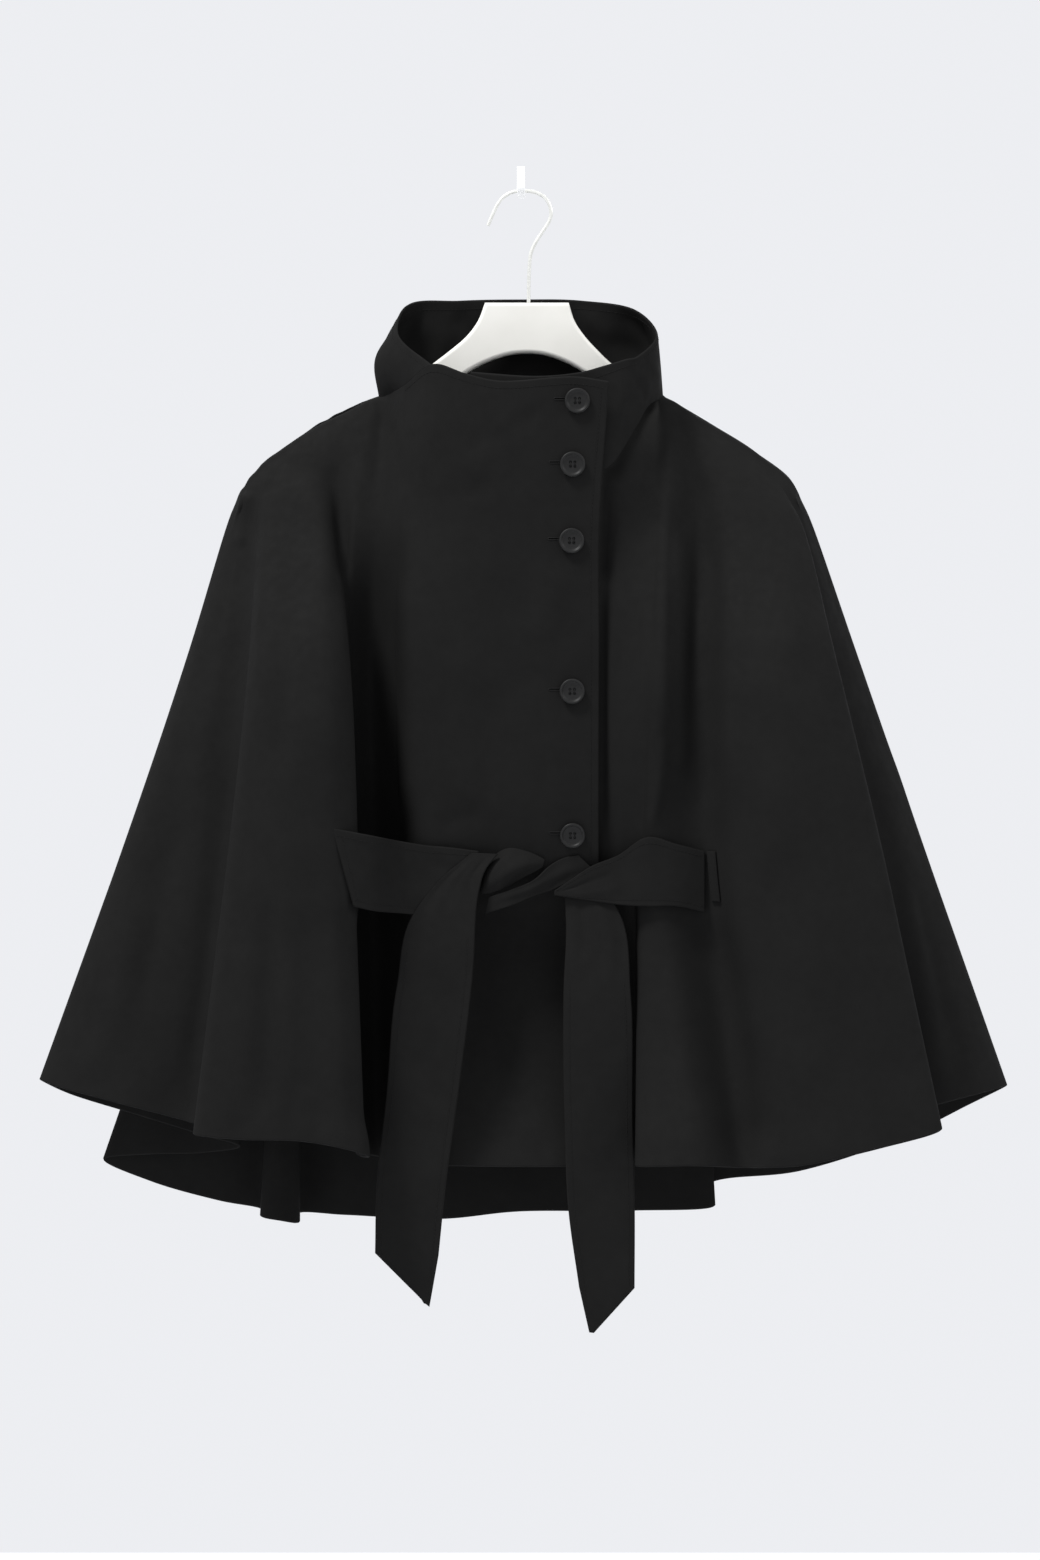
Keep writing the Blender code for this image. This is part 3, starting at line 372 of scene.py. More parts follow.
# From the foot over the rim into the dish: share of the radius, height
BUTTON_PROFILE = [
    (0.60, 0.0), (0.86, 0.35), (0.965, 1.1), (1.0, 2.1), (0.985, 2.85), (0.94, 3.3), (0.885, 3.4),
    (0.83, 3.2), (0.775, 2.6), (0.73, 2.1), (0.66, 1.85), (0.50, 1.75), (0.40, 1.72),
]
# The four holes: radius, distance from the centre, and the heights that they are cut between
HOLE_RADIUS = 1.3
HOLE_OFFSET = 2.6
HOLE_SIDES = 14
HOLE_CUT = (0.3, 5.4)
# Thread over the holes: height, reach in shares of the holes' distance, and pitch, length, half thickness
THREAD_HEIGHT = 1.7
THREAD_REACH = 1.3
BUTTON_THREAD = (0.7, 4.0, 0.45)
# Buttonholes: ends left of the button's centre, half height, height over the centre, thread, and the
# near-black tube of painted shade in the slit
HOLE_SPAN = (-4.0, 19.5)
HOLE_HALF = 0.85
HOLE_RISE = 1.8
HOLE_ROUND = 7
THREAD = 0.45
THREAD_LIFT = WALL / 2 + THREAD * 0.3
SLIT = 0.5
SLIT_LIFT = WALL / 2 - SLIT * 0.5
SLIT_INSET = 0.4
SLIT_POINTS = 6

# Welt of the belt slit in the left front: shares of the way between two folds, places down, lift, points
WELT_SPAN = (0.08, 0.36)
WELT_ROWS = (0.575, 0.64)
WELT_LIFT = 0.4
WELT_GRID = (9, 24)
WELT_STITCH = (2.6, 2.0)

# Hanger: outline x z, from the neck plate out along one arm, back under both and in along the other
HANGER_THICK = 10.0
HANGER_BEVEL = 3.2
HANGER_STEPS = 5
HANGER_SHARP = np.radians(50)
HANGER_OUTLINE = [
    (-31, -100), (-37, -115.5), (-47, -129), (-61, -141), (-76, -152.5), (-104, -173.5), (-118, -183.5),
    (-135, -188.4), (-168, -206.1), (-199, -225), (-221, -242.2), (-229, -253), (-227, -263), (-217, -266),
    (-190, -249), (-150, -229), (-110, -208), (-80, -187), (-46, -160), (-18, -147), (5, -143.5),
    (28, -147), (54, -160), (88, -187), (118, -205), (158, -231), (190, -252), (212, -268), (222, -267),
    (225, -257), (215, -244), (193, -227), (170, -213.5), (140, -195.5), (125, -187), (113, -184),
    (104, -174), (78, -152.5), (66, -141), (55, -129), (46, -115.5), (41, -100),
]
WIRE_RADIUS = 1.6
HOOK_STEPS = 6
WIRE_ROUTE = [
    (6.5, -99.6), (6.6, -90), (6.8, -78), (7.4, -66), (8.6, -57), (12.5, -48), (19, -38), (24.5, -29),
    (25.8, -21), (23, -12.5), (17, -7), (9, -4.2), (0, -3.7), (-8, -5), (-15, -9), (-20, -15),
    (-24, -23), (-28.5, -33.5),
]
WALL_HOOK_WIDTH = 6.0
WALL_HOOK_THICK = 2.0
WALL_HOOK_WALL = 1.96
WALL_HOOK_LIPS = (0.6, 0.4, 0.6, 0.4)
WALL_HOOK_POINTS = 7
WALL_HOOK_PATH = [
    (-1, 20.5), (-1, 8), (-1, 1), (-2.2, -3.2), (-5.5, -6), (-10, -7), (-17, -7), (-24, -6.8),
    (-28, -5.4), (-30, -2), (-30.4, 2.5),
]

# Belt: spacing of its points, points across, where across its stitching runs, edges, and sewn bands
BAND_STEP = 3.0
BAND_ACROSS = 17
BAND_STITCHES = (0.085, 0.915)
BAND_LIPS = (0.6, 0.3, 0.6, 0.3)
BELT_SEWN = ("belt_band_right", "belt_band_left", "belt_end_right", "belt_end_left")
# Where a tail's stitching starts along it, and which row of the right band's points has one more line
TAIL_SEWN_FROM = 0.22
SLIT_STITCH = 2

# Stitches: pitch, length and half thickness, their arch, and share of the length and radius along them
STITCH_PITCH = 3.3
STITCH_LENGTH = 2.6
STITCH_RADIUS = 0.22
STITCH_ARCH = 0.9
STITCH_PROFILE = [(-0.5, 0.35), (-0.34, 0.9), (0.0, 1.0), (0.34, 0.9), (0.5, 0.35)]
# The front's line: share from the edge, places down, points; the rim's: start, place down, points
EDGE_LINE = (0.19, 0.012, 0.995, 260)
RIM_LINE = (0.4, 0.0105, 60)
# The collar's line: its row, and how many of its points also show inside
COLLAR_LINE = 2
COLLAR_INSIDE = 110
# Places across and down the panel among which the nearest is looked up
LOOKUP_GRID = (160, 560)


def unit(vectors):
    return vectors / np.maximum(np.linalg.norm(vectors, axis=-1, keepdims=True), 1e-9)


def mix(first, second, share):
    return first + (second - first) * share


def running(steps):
    """The running total of steps, from 0."""
    return np.concatenate([[0.0], np.cumsum(steps)])


def eased(share):
    return share * share * (3 - 2 * share)


def raised(points, normals, height=WALL / 2):
    """A line of points moved out along their normals, and the normals."""
    return points + normals * height, normals


def point_at(run, line, place):
    """The point at a place along a line, whose points lie at the places in run."""
    return np.array([np.interp(place, run, line[:, axis]) for axis in range(3)])


def curve(knots, values, at):
    """A smooth curve through values at the knots, read at the places at; knots may be uneven."""
    knots = np.asarray(knots, float)
    values = np.asarray(values, float)
    at = np.asarray(at, float)
    steps = np.diff(knots)
    slopes = np.diff(values, axis=0) / steps.reshape(-1, *[1] * (values.ndim - 1))
    tangents = np.empty_like(values)
    tangents[0] = slopes[0]
    tangents[-1] = slopes[-1]
    for index in range(1, len(knots) - 1):
        before, after = steps[index - 1], steps[index]
        tangents[index] = (slopes[index - 1] * after + slopes[index] * before) / (before + after)
    span = np.clip(np.searchsorted(knots, at, side="right") - 1, 0, len(steps) - 1)
    shape = (-1, *[1] * (values.ndim - 1))
    step = steps[span].reshape(shape)
    t = ((at - knots[span]) / steps[span]).reshape(shape)
    start = values[span] * (1 + 2 * t) * (1 - t) ** 2 + tangents[span] * step * t * (1 - t) ** 2
    end = values[span + 1] * t * t * (3 - 2 * t) + tangents[span + 1] * step * t * t * (t - 1)
    return start + end


def smooth(points, steps):
    """A smooth line through listed points, with this many steps from each to the next."""
    last = len(points) - 1
    return curve(range(last + 1), points, np.linspace(0, last, steps * last + 1))


def divided(knots, lengths, step, least):
    """Places from the first knot to the last, about a step of the lengths apart, on every knot too."""
    places = [knots[0]]
    for first, last, length in zip(knots, knots[1:], lengths):
        count = max(least, int(round(length / step)))
        places += list(np.linspace(first, last, count + 1)[1:])
    return np.array(places)


def grid_normals(middle):
    """Unit normals of a grid from its neighbours, run crossed with fall."""
    return unit(np.cross(np.gradient(middle, axis=1), np.gradient(middle, axis=0)))


def crease_share(x, z, start, stop, bow, width, fade):
    """How much of a crease lies at each place: 1 on its line, fading across it and at both ends."""
    start, stop = np.array(start, float), np.array(stop, float)
    line = stop - start
    length = np.linalg.norm(line)
    along = ((x - start[0]) * line[0] + (z - start[1]) * line[1]) / length**2
    side = ((x - start[0]) * -line[1] + (z - start[1]) * line[0]) / length
    inside = np.clip(along, 0.0, 1.0)
    off = side - bow * 4 * inside * (1 - inside)
    ends = np.clip(along / fade, 0, 1) * np.clip((1 - along) / fade, 0, 1)
    return np.exp(-((off / width) ** 2)) * eased(ends)


def fold_line(row, outward):
    """A fold's eight points, one for each level, from its row; outward is -1 in front and 1 at the back."""
    name, *sizes = row
    top = np.array(sizes[:3], float)
    hem = np.array(sizes[-3:], float)
    on_ridge = top[1] == RIDGE_Y and not name.startswith("side")
    if len(sizes) > 8:
        upper = np.array([*sizes[3:5], UPPER_Z], float)
        chest = np.array([*sizes[5:7], CHEST_Z], float)
        belt = np.array([*sizes[7:9], BELT_Z], float)
    else:
        belt = np.array([*sizes[3:5], BELT_Z], float)
        start = top + np.array([0.0, (CAP_OUT - BACK_CAP_IN) if on_ridge else 0.0, 0.0])
        upper = mix(start, belt, (UPPER_Z - top[2]) / (BELT_Z - top[2]))
        chest = mix(start, belt, (CHEST_Z - top[2]) / (BELT_Z - top[2]))
    if on_ridge:
        crown = top + np.array([0.0, outward * CROWN_OUT, -CROWN_DROP])
        cap = top + np.array([0.0, outward * CAP_OUT, -CAP_DROP])
        if outward > 0:
            cap[1] -= BACK_CAP_IN
    else:
        crown = mix(top, upper, FREE_CROWN)
        cap = mix(top, upper, FREE_CAP)
    below = mix(belt, hem, HOLLOW_SHARE) + np.array([0.0, HOLLOWS.get(name, 0), 0.0])
    return np.array([top, crown, cap, upper, chest, belt, below, hem])


class Drape:
    """The jacket's one sheet, from the right front's edge round the back to the edge under it."""

    def __init__(self):
        rows = [(row, -1) for row in FRONT_RIGHT]
        rows += [(row, 1) for row in BACK]
        rows += [(row, -1) for row in FRONT_LEFT]
        self.names = [row[0] for row, _ in rows]
        self.lines = np.array([fold_line(row, outward) for row, outward in rows])
        apart = np.linalg.norm(np.diff(self.lines[:, 3:], axis=0), axis=2).mean(axis=1)
        self.reach = np.linalg.norm(np.diff(self.lines[:, -1], axis=0), axis=1)
        self.knots = running(np.sqrt(apart))

    def at(self, name):
        """The place of a fold across the sheet."""
        return self.knots[self.names.index(name)]

    def grid(self, across, down):
        """Points of the sheet's middle, a row for each place down and a column for each across."""
        lines = curve(LEVELS, self.lines.transpose(1, 0, 2), down)
        return curve(self.knots, lines.transpose(1, 0, 2), across).transpose(1, 0, 2)

    def frame(self, across, down, small=1e-3):
        """Points, the unit steps across and the unit outward normals."""
        across = np.asarray(across, float)
        down = np.asarray(down, float)
        low = np.clip(across - small, self.knots[0], self.knots[-1])
        high = np.clip(across + small, self.knots[0], self.knots[-1])
        run = unit(self.grid(high, down) - self.grid(low, down))
        over = np.clip(down - small, 0.0, 1.0)
        under = np.clip(down + small, 0.0, 1.0)
        fall = unit(self.grid(across, under) - self.grid(across, over))
        return self.grid(across, down), run, unit(np.cross(run, fall))

    def creased(self, across, down):
        """Points, steps across and normals, with the small creases pressed into the points."""
        across = np.asarray(across, float)
        middle, run, normals = self.frame(across, down)
        depth = np.zeros(middle.shape[:2])
        x, z = middle[..., 0], middle[..., 2]
        for (first, last), creases in CREASES.items():
            after = np.clip((across - self.at(first)) / FOLD_FADE, 0, 1)
            before = np.clip((self.at(last) - across) / FOLD_FADE, 0, 1)
            for x0, z0, x1, z1, bow, width, size in creases:
                share = crease_share(x, z, (x0, z0), (x1, z1), bow, width, CREASE_FADE)
                depth += share * (after * before)[None, :] * size
        return middle + normals * depth[..., None], run, normals

    def places(self, first, last, step):
        """Places across between two folds, about a step apart at the hem."""
        start, stop = self.names.index(first), self.names.index(last)
        return divided(self.knots[start:stop + 1], self.reach[start:stop], step, 4)


DRAPE = Drape()
ROWS = np.concatenate([
    np.linspace(0.0, LEVELS[2], TOP_ROWS),
    np.linspace(LEVELS[2], 1.0, int((1 - LEVELS[2]) / DOWN_STEP))[1:],
])


# Materials

def new_material(name, colour, roughness, metallic=0.0):
    """A material, its node tree and its shader, with the plain values set on the shader."""
    made = bpy.data.materials.new(name)
    made.use_nodes = True
    tree = made.node_tree
    shader = tree.nodes["Principled BSDF"]
    shader.inputs["Base Color"].default_value = (*colour, 1.0)
    shader.inputs["Roughness"].default_value = roughness
    shader.inputs["Metallic"].default_value = metallic
    return made, tree, shader


def add_node(tree, kind, **values):
    """A node of this kind, with its properties and inputs set by name."""
    made = tree.nodes.new(kind)
    for key, value in values.items():
        if key in made.inputs:
            made.inputs[key].default_value = value
        else:
            setattr(made, key, value)
    return made


def noise(tree, coordinate, scale, detail=3.0, roughness=0.5):
    made = add_node(tree, "ShaderNodeTexNoise", Scale=scale, Detail=detail, Roughness=roughness)
    tree.links.new(coordinate, made.inputs["Vector"])
    return made.outputs["Fac"]


def spread(tree, value, low, high):
    """A value from 0.3 to 0.7 spread from low to high."""
    made = add_node(tree, "ShaderNodeMapRange")
    for key, number in (("From Min", 0.3), ("From Max", 0.7), ("To Min", low), ("To Max", high)):
        made.inputs[key].default_value = number
    tree.links.new(value, made.inputs["Value"])
    return made.outputs["Result"]


def two_colours(tree, value, first, second):
    made = add_node(tree, "ShaderNodeMix", data_type="RGBA")
    for socket in made.inputs:
        if socket.type == "RGBA" and socket.name in "AB":
            socket.default_value = (*(first if socket.name == "A" else second), 1.0)
    tree.links.new(value, made.inputs["Factor"])
    return next(out for out in made.outputs if out.type == "RGBA")


def shaded(tree, shader, value, first, second):
    """Has a noise change the shader's colour from the first to the second."""
    mixed = two_colours(tree, spread(tree, value, 0.0, 1.0), first, second)
    tree.links.new(mixed, shader.inputs["Base Color"])


def bump(tree, height, strength, distance, under=None):
    made = add_node(tree, "ShaderNodeBump", Strength=strength, Distance=distance)
    tree.links.new(height, made.inputs["Height"])
    if under is not None:
        tree.links.new(under, made.inputs["Normal"])
    return made.outputs["Normal"]


# The width of one wave at scale 1
WAVE_REPEAT = 0.314


def cloth_material(name, dark, light, yarn):
    """Black coating: a close weave, a dry nap and slight changes of shade."""
    made, tree, shader = new_material(name, light, 0.86)
    place = add_node(tree, "ShaderNodeTexCoord")
    solid, flat = place.outputs["Object"], place.outputs["UV"]
    shaded(tree, shader, noise(tree, solid, 22.0, 4.0, 0.55), dark, light)
    tree.links.new(spread(tree, noise(tree, solid, 130.0), 0.80, 0.93), shader.inputs["Roughness"])
    weave = []
    for direction in ("X", "Y"):
        wave = add_node(tree, "ShaderNodeTexWave", Scale=WAVE_REPEAT / yarn, Distortion=0.6, Detail=1.0)
        wave.bands_direction = direction
        tree.links.new(flat, wave.inputs["Vector"])
        weave.append(wave.outputs["Fac"])
    cells = add_node(tree, "ShaderNodeMath", operation="MULTIPLY")
    tree.links.new(weave[0], cells.inputs[0])
    tree.links.new(weave[1], cells.inputs[1])
    woven = bump(tree, cells.outputs["Value"], 0.22, 0.00005)
    nap = bump(tree, noise(tree, solid, 950.0, 2.0), 0.16, 0.00012, woven)
    soft = bump(tree, noise(tree, solid, 40.0, 2.0, 0.5), 0.10, 0.0009, nap)
    tree.links.new(soft, shader.inputs["Normal"])
    shader.inputs["Specular IOR Level"].default_value = 0.06
    return made


def grained_material(name, first, second, scale, rough, size, metallic=0.0, specular=0.5):
    """A plain finish with slight changes of shade, gloss and height."""
    made, tree, shader = new_material(name, first, rough[0], metallic)
    solid = add_node(tree, "ShaderNodeTexCoord").outputs["Object"]
    shaded(tree, shader, noise(tree, solid, scale, 4.0), first, second)
    tree.links.new(spread(tree, noise(tree, solid, scale * 4), *rough), shader.inputs["Roughness"])
    tree.links.new(bump(tree, noise(tree, solid, scale * 8, 3.0), 0.15, size), shader.inputs["Normal"])
    shader.inputs["Specular IOR Level"].default_value = specular
    return made


# Cloth: its darker and lighter shade, and its yarn in metres
CLOTH_SHADES = ((0.0076, 0.0075, 0.0073), (0.0090, 0.0089, 0.0086))
YARN = 0.0008
CLOTH = cloth_material("black_cloth", *CLOTH_SHADES, YARN)
BELT_CLOTH = cloth_material("black_belt_cloth", *CLOTH_SHADES, YARN)
SEWING = grained_material(
    "black_thread", (0.0075, 0.0074, 0.0072), (0.0100, 0.0099, 0.0096), 400.0, (0.75, 0.9), 0.0001,
    specular=0.12,
)
# Near-black material that paints the shade seen through the buttonholes' slits
SHADE = grained_material(
    "painted_slit_shade", (0.0012, 0.0012, 0.0012), (0.0016, 0.0016, 0.0016), 400.0, (0.85, 0.95), 0.0001,
    specular=0.02,
)
BUTTON = grained_material(
    "dark_button", (0.0100, 0.0100, 0.0098), (0.0125, 0.0125, 0.0123), 120.0, (0.42, 0.52), 0.00004,
    specular=0.15,
)
HANGER = grained_material(
    "white_hanger", (0.70, 0.69, 0.645), (0.74, 0.73, 0.685), 30.0, (0.48, 0.58), 0.0001,
)
WIRE = grained_material(
    "pale_wire", (0.70, 0.70, 0.66), (0.80, 0.80, 0.76), 300.0, (0.25, 0.38), 0.00003, 0.55,
)
HOOK = grained_material("white_hook", (0.84, 0.84, 0.83), (0.90, 0.90, 0.89), 200.0, (0.30, 0.42), 0.00003)
FLOOR = grained_material("pale_floor", (0.80, 0.81, 0.83), (0.84, 0.85, 0.87), 3.0, (0.75, 0.85), 0.0005)


# Mesh makers

def add_object(name, data):
    """A new object in the scene, of this data."""
    made = bpy.data.objects.new(name, data)
    bpy.context.scene.collection.objects.link(made)
    return made


def add_mesh(name, points, faces, look, flats=None):
    """An object from points in millimetres, faces that list them, and each point's flat place in metres."""
    mesh = bpy.data.meshes.new(name)
    mesh.from_pydata((np.asarray(points, float) * MM).tolist(), [], faces)
    mesh.materials.append(look)
    mesh.shade_smooth()
    if flats is not None:
        layer = mesh.uv_layers.new(name="flat")
        corners = np.empty(len(mesh.loops), int)
        mesh.loops.foreach_get("vertex_index", corners)
        layer.uv.foreach_set("vector", np.asarray(flats, float)[corners].ravel())
    return add_object(name, mesh)


def finish_piece(piece, slot, *nodes):
    """Has the piece ride on the body, and hides the nodes that it stands for; the slot is not used."""
    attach(piece, "root")
    if nodes:
        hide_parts(*nodes)
    return piece


def with_support(grid, share=0.25):
    """The grid with one more row and column close inside each edge."""
    for axis in (0, 1):
        first = mix(np.take(grid, [0], axis), np.take(grid, [1], axis), share)
        last = mix(np.take(grid, [-1], axis), np.take(grid, [-2], axis), share)
        head = np.take(grid, [0], axis)
        tail = np.take(grid, [-1], axis)
        inner = np.take(grid, range(1, grid.shape[axis] - 1), axis)
        grid = np.concatenate([head, first, inner, last, tail], axis)
    return grid


def cloth_wall(name, middle, normals, thick, look, lips=(LIP, LIP, LIP, LIP)):
    """A closed wall round a grid of middle points, with rounded edges; lips are top, right, bottom, left."""
    middle, normals = with_support(middle), unit(with_support(normals))
    rows, columns = middle.shape[:2]
    outer = (middle + normals * thick / 2).reshape(-1, 3)
    inner = (middle - normals * thick / 2).reshape(-1, 3)
    count = rows * columns
    index = np.arange(count).reshape(rows, columns)
    a, b = index[:-1, :-1].ravel(), index[:-1, 1:].ravel()
    c, d = index[1:, 1:].ravel(), index[1:, :-1].ravel()
    faces = np.concatenate([np.stack([a, b, c, d], 1), count + np.stack([d, c, b, a], 1)]).tolist()
    out = np.zeros_like(middle)
    out[0] += unit(middle[0] - middle[1]) * lips[0]
    out[:, -1] += unit(middle[:, -1] - middle[:, -2]) * lips[1]
    out[-1] += unit(middle[-1] - middle[-2]) * lips[2]
    out[:, 0] += unit(middle[:, 0] - middle[:, 1]) * lips[3]
    loop = np.concatenate([index[0, :-1], index[:-1, -1], index[-1, :0:-1], index[:0:-1, 0]])
    rim = (middle + out).reshape(-1, 3)[loop]
    size = len(loop)
    for place in range(size):
        after = (place + 1) % size
        p, q = int(loop[place]), int(loop[after])
        r, s = 2 * count + place, 2 * count + after
        faces += [(q, p, r, s), (s, r, count + p, count + q)]
    run = np.linalg.norm(np.diff(middle, axis=1), axis=2)
    fall = np.linalg.norm(np.diff(middle, axis=0), axis=2)
    along = np.concatenate([np.zeros((rows, 1)), np.cumsum(run, axis=1)], axis=1)
    along -= along[:, columns // 2][:, None]
    below = np.concatenate([np.zeros((1, columns)), np.cumsum(fall, axis=0)], axis=0)
    flat = np.stack([along, -below], axis=2).reshape(-1, 2) * MM
    flats = np.concatenate([flat, flat + INSIDE_SHIFT, flat[loop]])
    return add_mesh(name, np.concatenate([outer, inner, rim]), faces, look, flats)


def ring_faces(rings, sides, base=0):
    """Faces round stacked rings of points, and over both ends."""
    top = base + (rings - 1) * sides
    faces = [tuple(reversed(range(base, base + sides))), tuple(range(top, top + sides))]
    for low in range(base, top, sides):
        for index in range(sides):
            after = (index + 1) % sides
            faces.append((low + index, low + after, low + sides + after, low + sides + index))
    return faces


def turned(name, profile, centre, axes, sides):
    """A button's shape or a hole's, turned round the last of three axes, from radii and heights."""
    side, up, normal = axes
    points = []
    for radius, height in profile:
        for turn in np.linspace(0, 2 * np.pi, sides, endpoint=False):
            points.append(centre + (side * np.cos(turn) + up * np.sin(turn)) * radius + normal * height)
    return add_mesh(name, points, ring_faces(len(profile), sides), BUTTON)


def stitches(name, lines, pitch=STITCH_PITCH, length=STITCH_LENGTH, radius=STITCH_RADIUS, sides=6):
    """Stitches along lines, each line its points and outward normals, as one piece of thread."""
    points, faces = [], []
    turns = np.linspace(0, 2 * np.pi, sides, endpoint=False)
    for line, out in lines:
        run = running(np.linalg.norm(np.diff(line, axis=0), axis=1))
        for start in np.arange(pitch / 2, run[-1] - length, pitch):
            centre = point_at(run, line, start + length / 2)
            normal = unit(point_at(run, out, start + length / 2))
            way = unit(point_at(run, line, start + length) - centre)
            side = unit(np.cross(normal, way))
            faces += ring_faces(len(STITCH_PROFILE), sides, len(points))
            for along, size in STITCH_PROFILE:
                arch = radius * STITCH_ARCH * (1 - (2 * along) ** 2)
                for turn in turns:
                    ring = side * np.cos(turn) + normal * np.sin(turn)
                    points.append(centre + way * along * length + normal * arch + ring * radius * size)
    finish_piece(add_mesh(name, points, faces, SEWING), "cloth")


def tube(name, path, radius, look, closed=False, segments=5):
    """A round tube along points in millimetres."""
    made = bpy.data.curves.new(name, "CURVE")
    made.dimensions = "3D"
    made.bevel_depth = radius * MM
    made.bevel_resolution = segments
    made.use_fill_caps = True
    add_line(made, np.asarray(path, float) * MM, closed)
    return as_mesh(add_object(name + "_line", made), name, look)


def add_line(shape, places, closed):
    """A line through places in metres, in a curve."""
    line = shape.splines.new("POLY")
    line.points.add(len(places) - 1)
    for point, place in zip(line.points, places):
        point.co = (*place, 1.0)
    line.use_cyclic_u = closed


def as_mesh(shape, name, look):
    """The object as it is evaluated, as a plain mesh object in its place."""
    bpy.context.view_layer.update()
    mesh = bpy.data.meshes.new_from_object(shape.evaluated_get(bpy.context.evaluated_depsgraph_get()))
    mesh.name = name
    mesh.materials.clear()
    mesh.materials.append(look)
    mesh.shade_smooth()
    bpy.data.objects.remove(shape)
    return add_object(name, mesh)


# The jacket

def panel(name, first, last, step, outward, seam_first, seam_last):
    """One cut piece of the sheet between two folds, parted from its neighbours at the seams."""
    across = DRAPE.places(first, last, step)
    middle, run, normals = DRAPE.creased(across, ROWS)
    if seam_first:
        middle[:, 0] += run[:, 0] * SEAM_HALF_GAP
    if seam_last:
        middle[:, -1] -= run[:, -1] * SEAM_HALF_GAP
    on_ridge = np.abs(middle[0, :, 1] - RIDGE_Y) < RIDGE_REACH
    middle[0, on_ridge, 1] = RIDGE_Y + outward * RIDGE_HALF_GAP
    for column, is_seam in ((0, seam_first), (-1, seam_last)):
        if is_seam:
            middle[0, column, 1] += outward * WALL / 2
    fine = grid_normals(middle)
    fine[:2] = normals[:2]
    top = SEAM_LIP if outward > 0 else RIM_LIP
    lips = (top, SEAM_LIP if seam_last else LIP, LIP, SEAM_LIP if seam_first else LIP)
    return cloth_wall(name, middle, fine, WALL, CLOTH, lips)


def collar_seam():
    """Points along the top of the right front, where the collar is sewn to it, rim first, and normals."""
    first = mix(DRAPE.at("panel_turn"), DRAPE.at("valley_in"), COLLAR_SEAM_START)
    middle, _, normals = DRAPE.frame(np.linspace(first, DRAPE.at("valley"), COLLAR_ROWS), [0.0])
    return middle[0], normals[0]


def collar():
    """The funnel collar, from its seam on the right front round the neck to its end under the front."""
    table = np.array([row[1:] for row in COLLAR], float).reshape(len(COLLAR), 3, 3)
    apart = np.linalg.norm(np.diff(table, axis=0), axis=2).mean(axis=1)
    knots = running(np.sqrt(apart))
    stations = np.linspace(0, len(knots) - 1, COLLAR_STEPS * (len(knots) - 1) + 1)
    around = curve(knots, table, np.interp(stations, range(len(knots)), knots))
    up = np.linspace(1.0, 0.0, COLLAR_ROWS)
    middle = curve([0.0, 0.5, 1.0], around.transpose(1, 0, 2), up)
    seam, seam_normals = collar_seam()
    share = eased(np.clip(1 - stations / COLLAR_BLEND, 0, 1))
    middle += share[None, :, None] * (seam - middle[:, 0])[:, None]
    normals = grid_normals(middle)
    depth = np.zeros(middle.shape[:2])
    s, t = np.meshgrid(stations, up)
    for s0, t0, s1, t1, width, size in COLLAR_CREASES:
        depth += crease_share(s, t, (s0, t0), (s1, t1), COLLAR_BOW, width, COLLAR_FADE) * size
    depth *= np.clip(t / BASE_FADE, 0, 1) * np.clip((1 - t) / RIM_FADE, RIM_LEAST, 1)
    depth *= np.clip(s / SEAM_FADE, 0, 1)
    middle += normals * depth[..., None]
    normals = unit(mix(grid_normals(middle), seam_normals[:, None], share[None, :, None]))
    made = cloth_wall("jacket_collar", middle, normals, WALL, CLOTH, (RIM_LIP, LIP, SEAM_LIP, SEAM_LIP))
    return middle, made


def band_grid(rows, creases, straight, crown):
    """The middle points of a band between two long edges, facing out, with its crown and its creases."""
    table = np.array([row[1:] for row in rows], float)
    one = table[:, [0, 1, 4]]
    two = table[:, [2, 3, 5]]
    knots = running(np.linalg.norm(np.diff(one + two, axis=0), axis=1))
    places = divided(knots, np.diff(knots), 2 * BAND_STEP, 3)
    bent = len(knots) - straight
    curved = places <= knots[bent - 1]
    edges = []
    for edge in (one, two):
        bend = curve(knots[:bent], edge[:bent], places[curved])
        cut = [point_at(knots, edge, place) for place in places[~curved]]
        edges.append(np.concatenate([bend, np.reshape(cut, (-1, 3))]))
    share = np.linspace(0.0, 1.0, BAND_ACROSS)[:, None]
    middle = mix(edges[0], edges[1], share[..., None])
    along = (places - knots[0]) / (knots[-1] - knots[0])
    middle[..., 1] -= crown * np.sin(np.pi * share) * np.sin(np.pi * along)
    normals = grid_normals(middle)
    facing = 1.0 if normals[..., 1].mean() < 0 else -1.0
    width = np.linalg.norm(edges[0] - edges[1], axis=1).mean()
    far = knots[-1] / 2
    lengthways, crossways = np.meshgrid(along * far, np.linspace(0, width, BAND_ACROSS))
    depth = np.zeros(lengthways.shape)
    for u0, v0, u1, v1, size, height in creases:
        start, stop = (u0 * far, v0 * width), (u1 * far, v1 * width)
        depth += crease_share(lengthways, crossways, start, stop, size * BAND_BOW, size, BAND_FADE) * height
    middle = middle + normals * (facing * depth)[..., None]
    return middle if facing > 0 else middle[::-1]


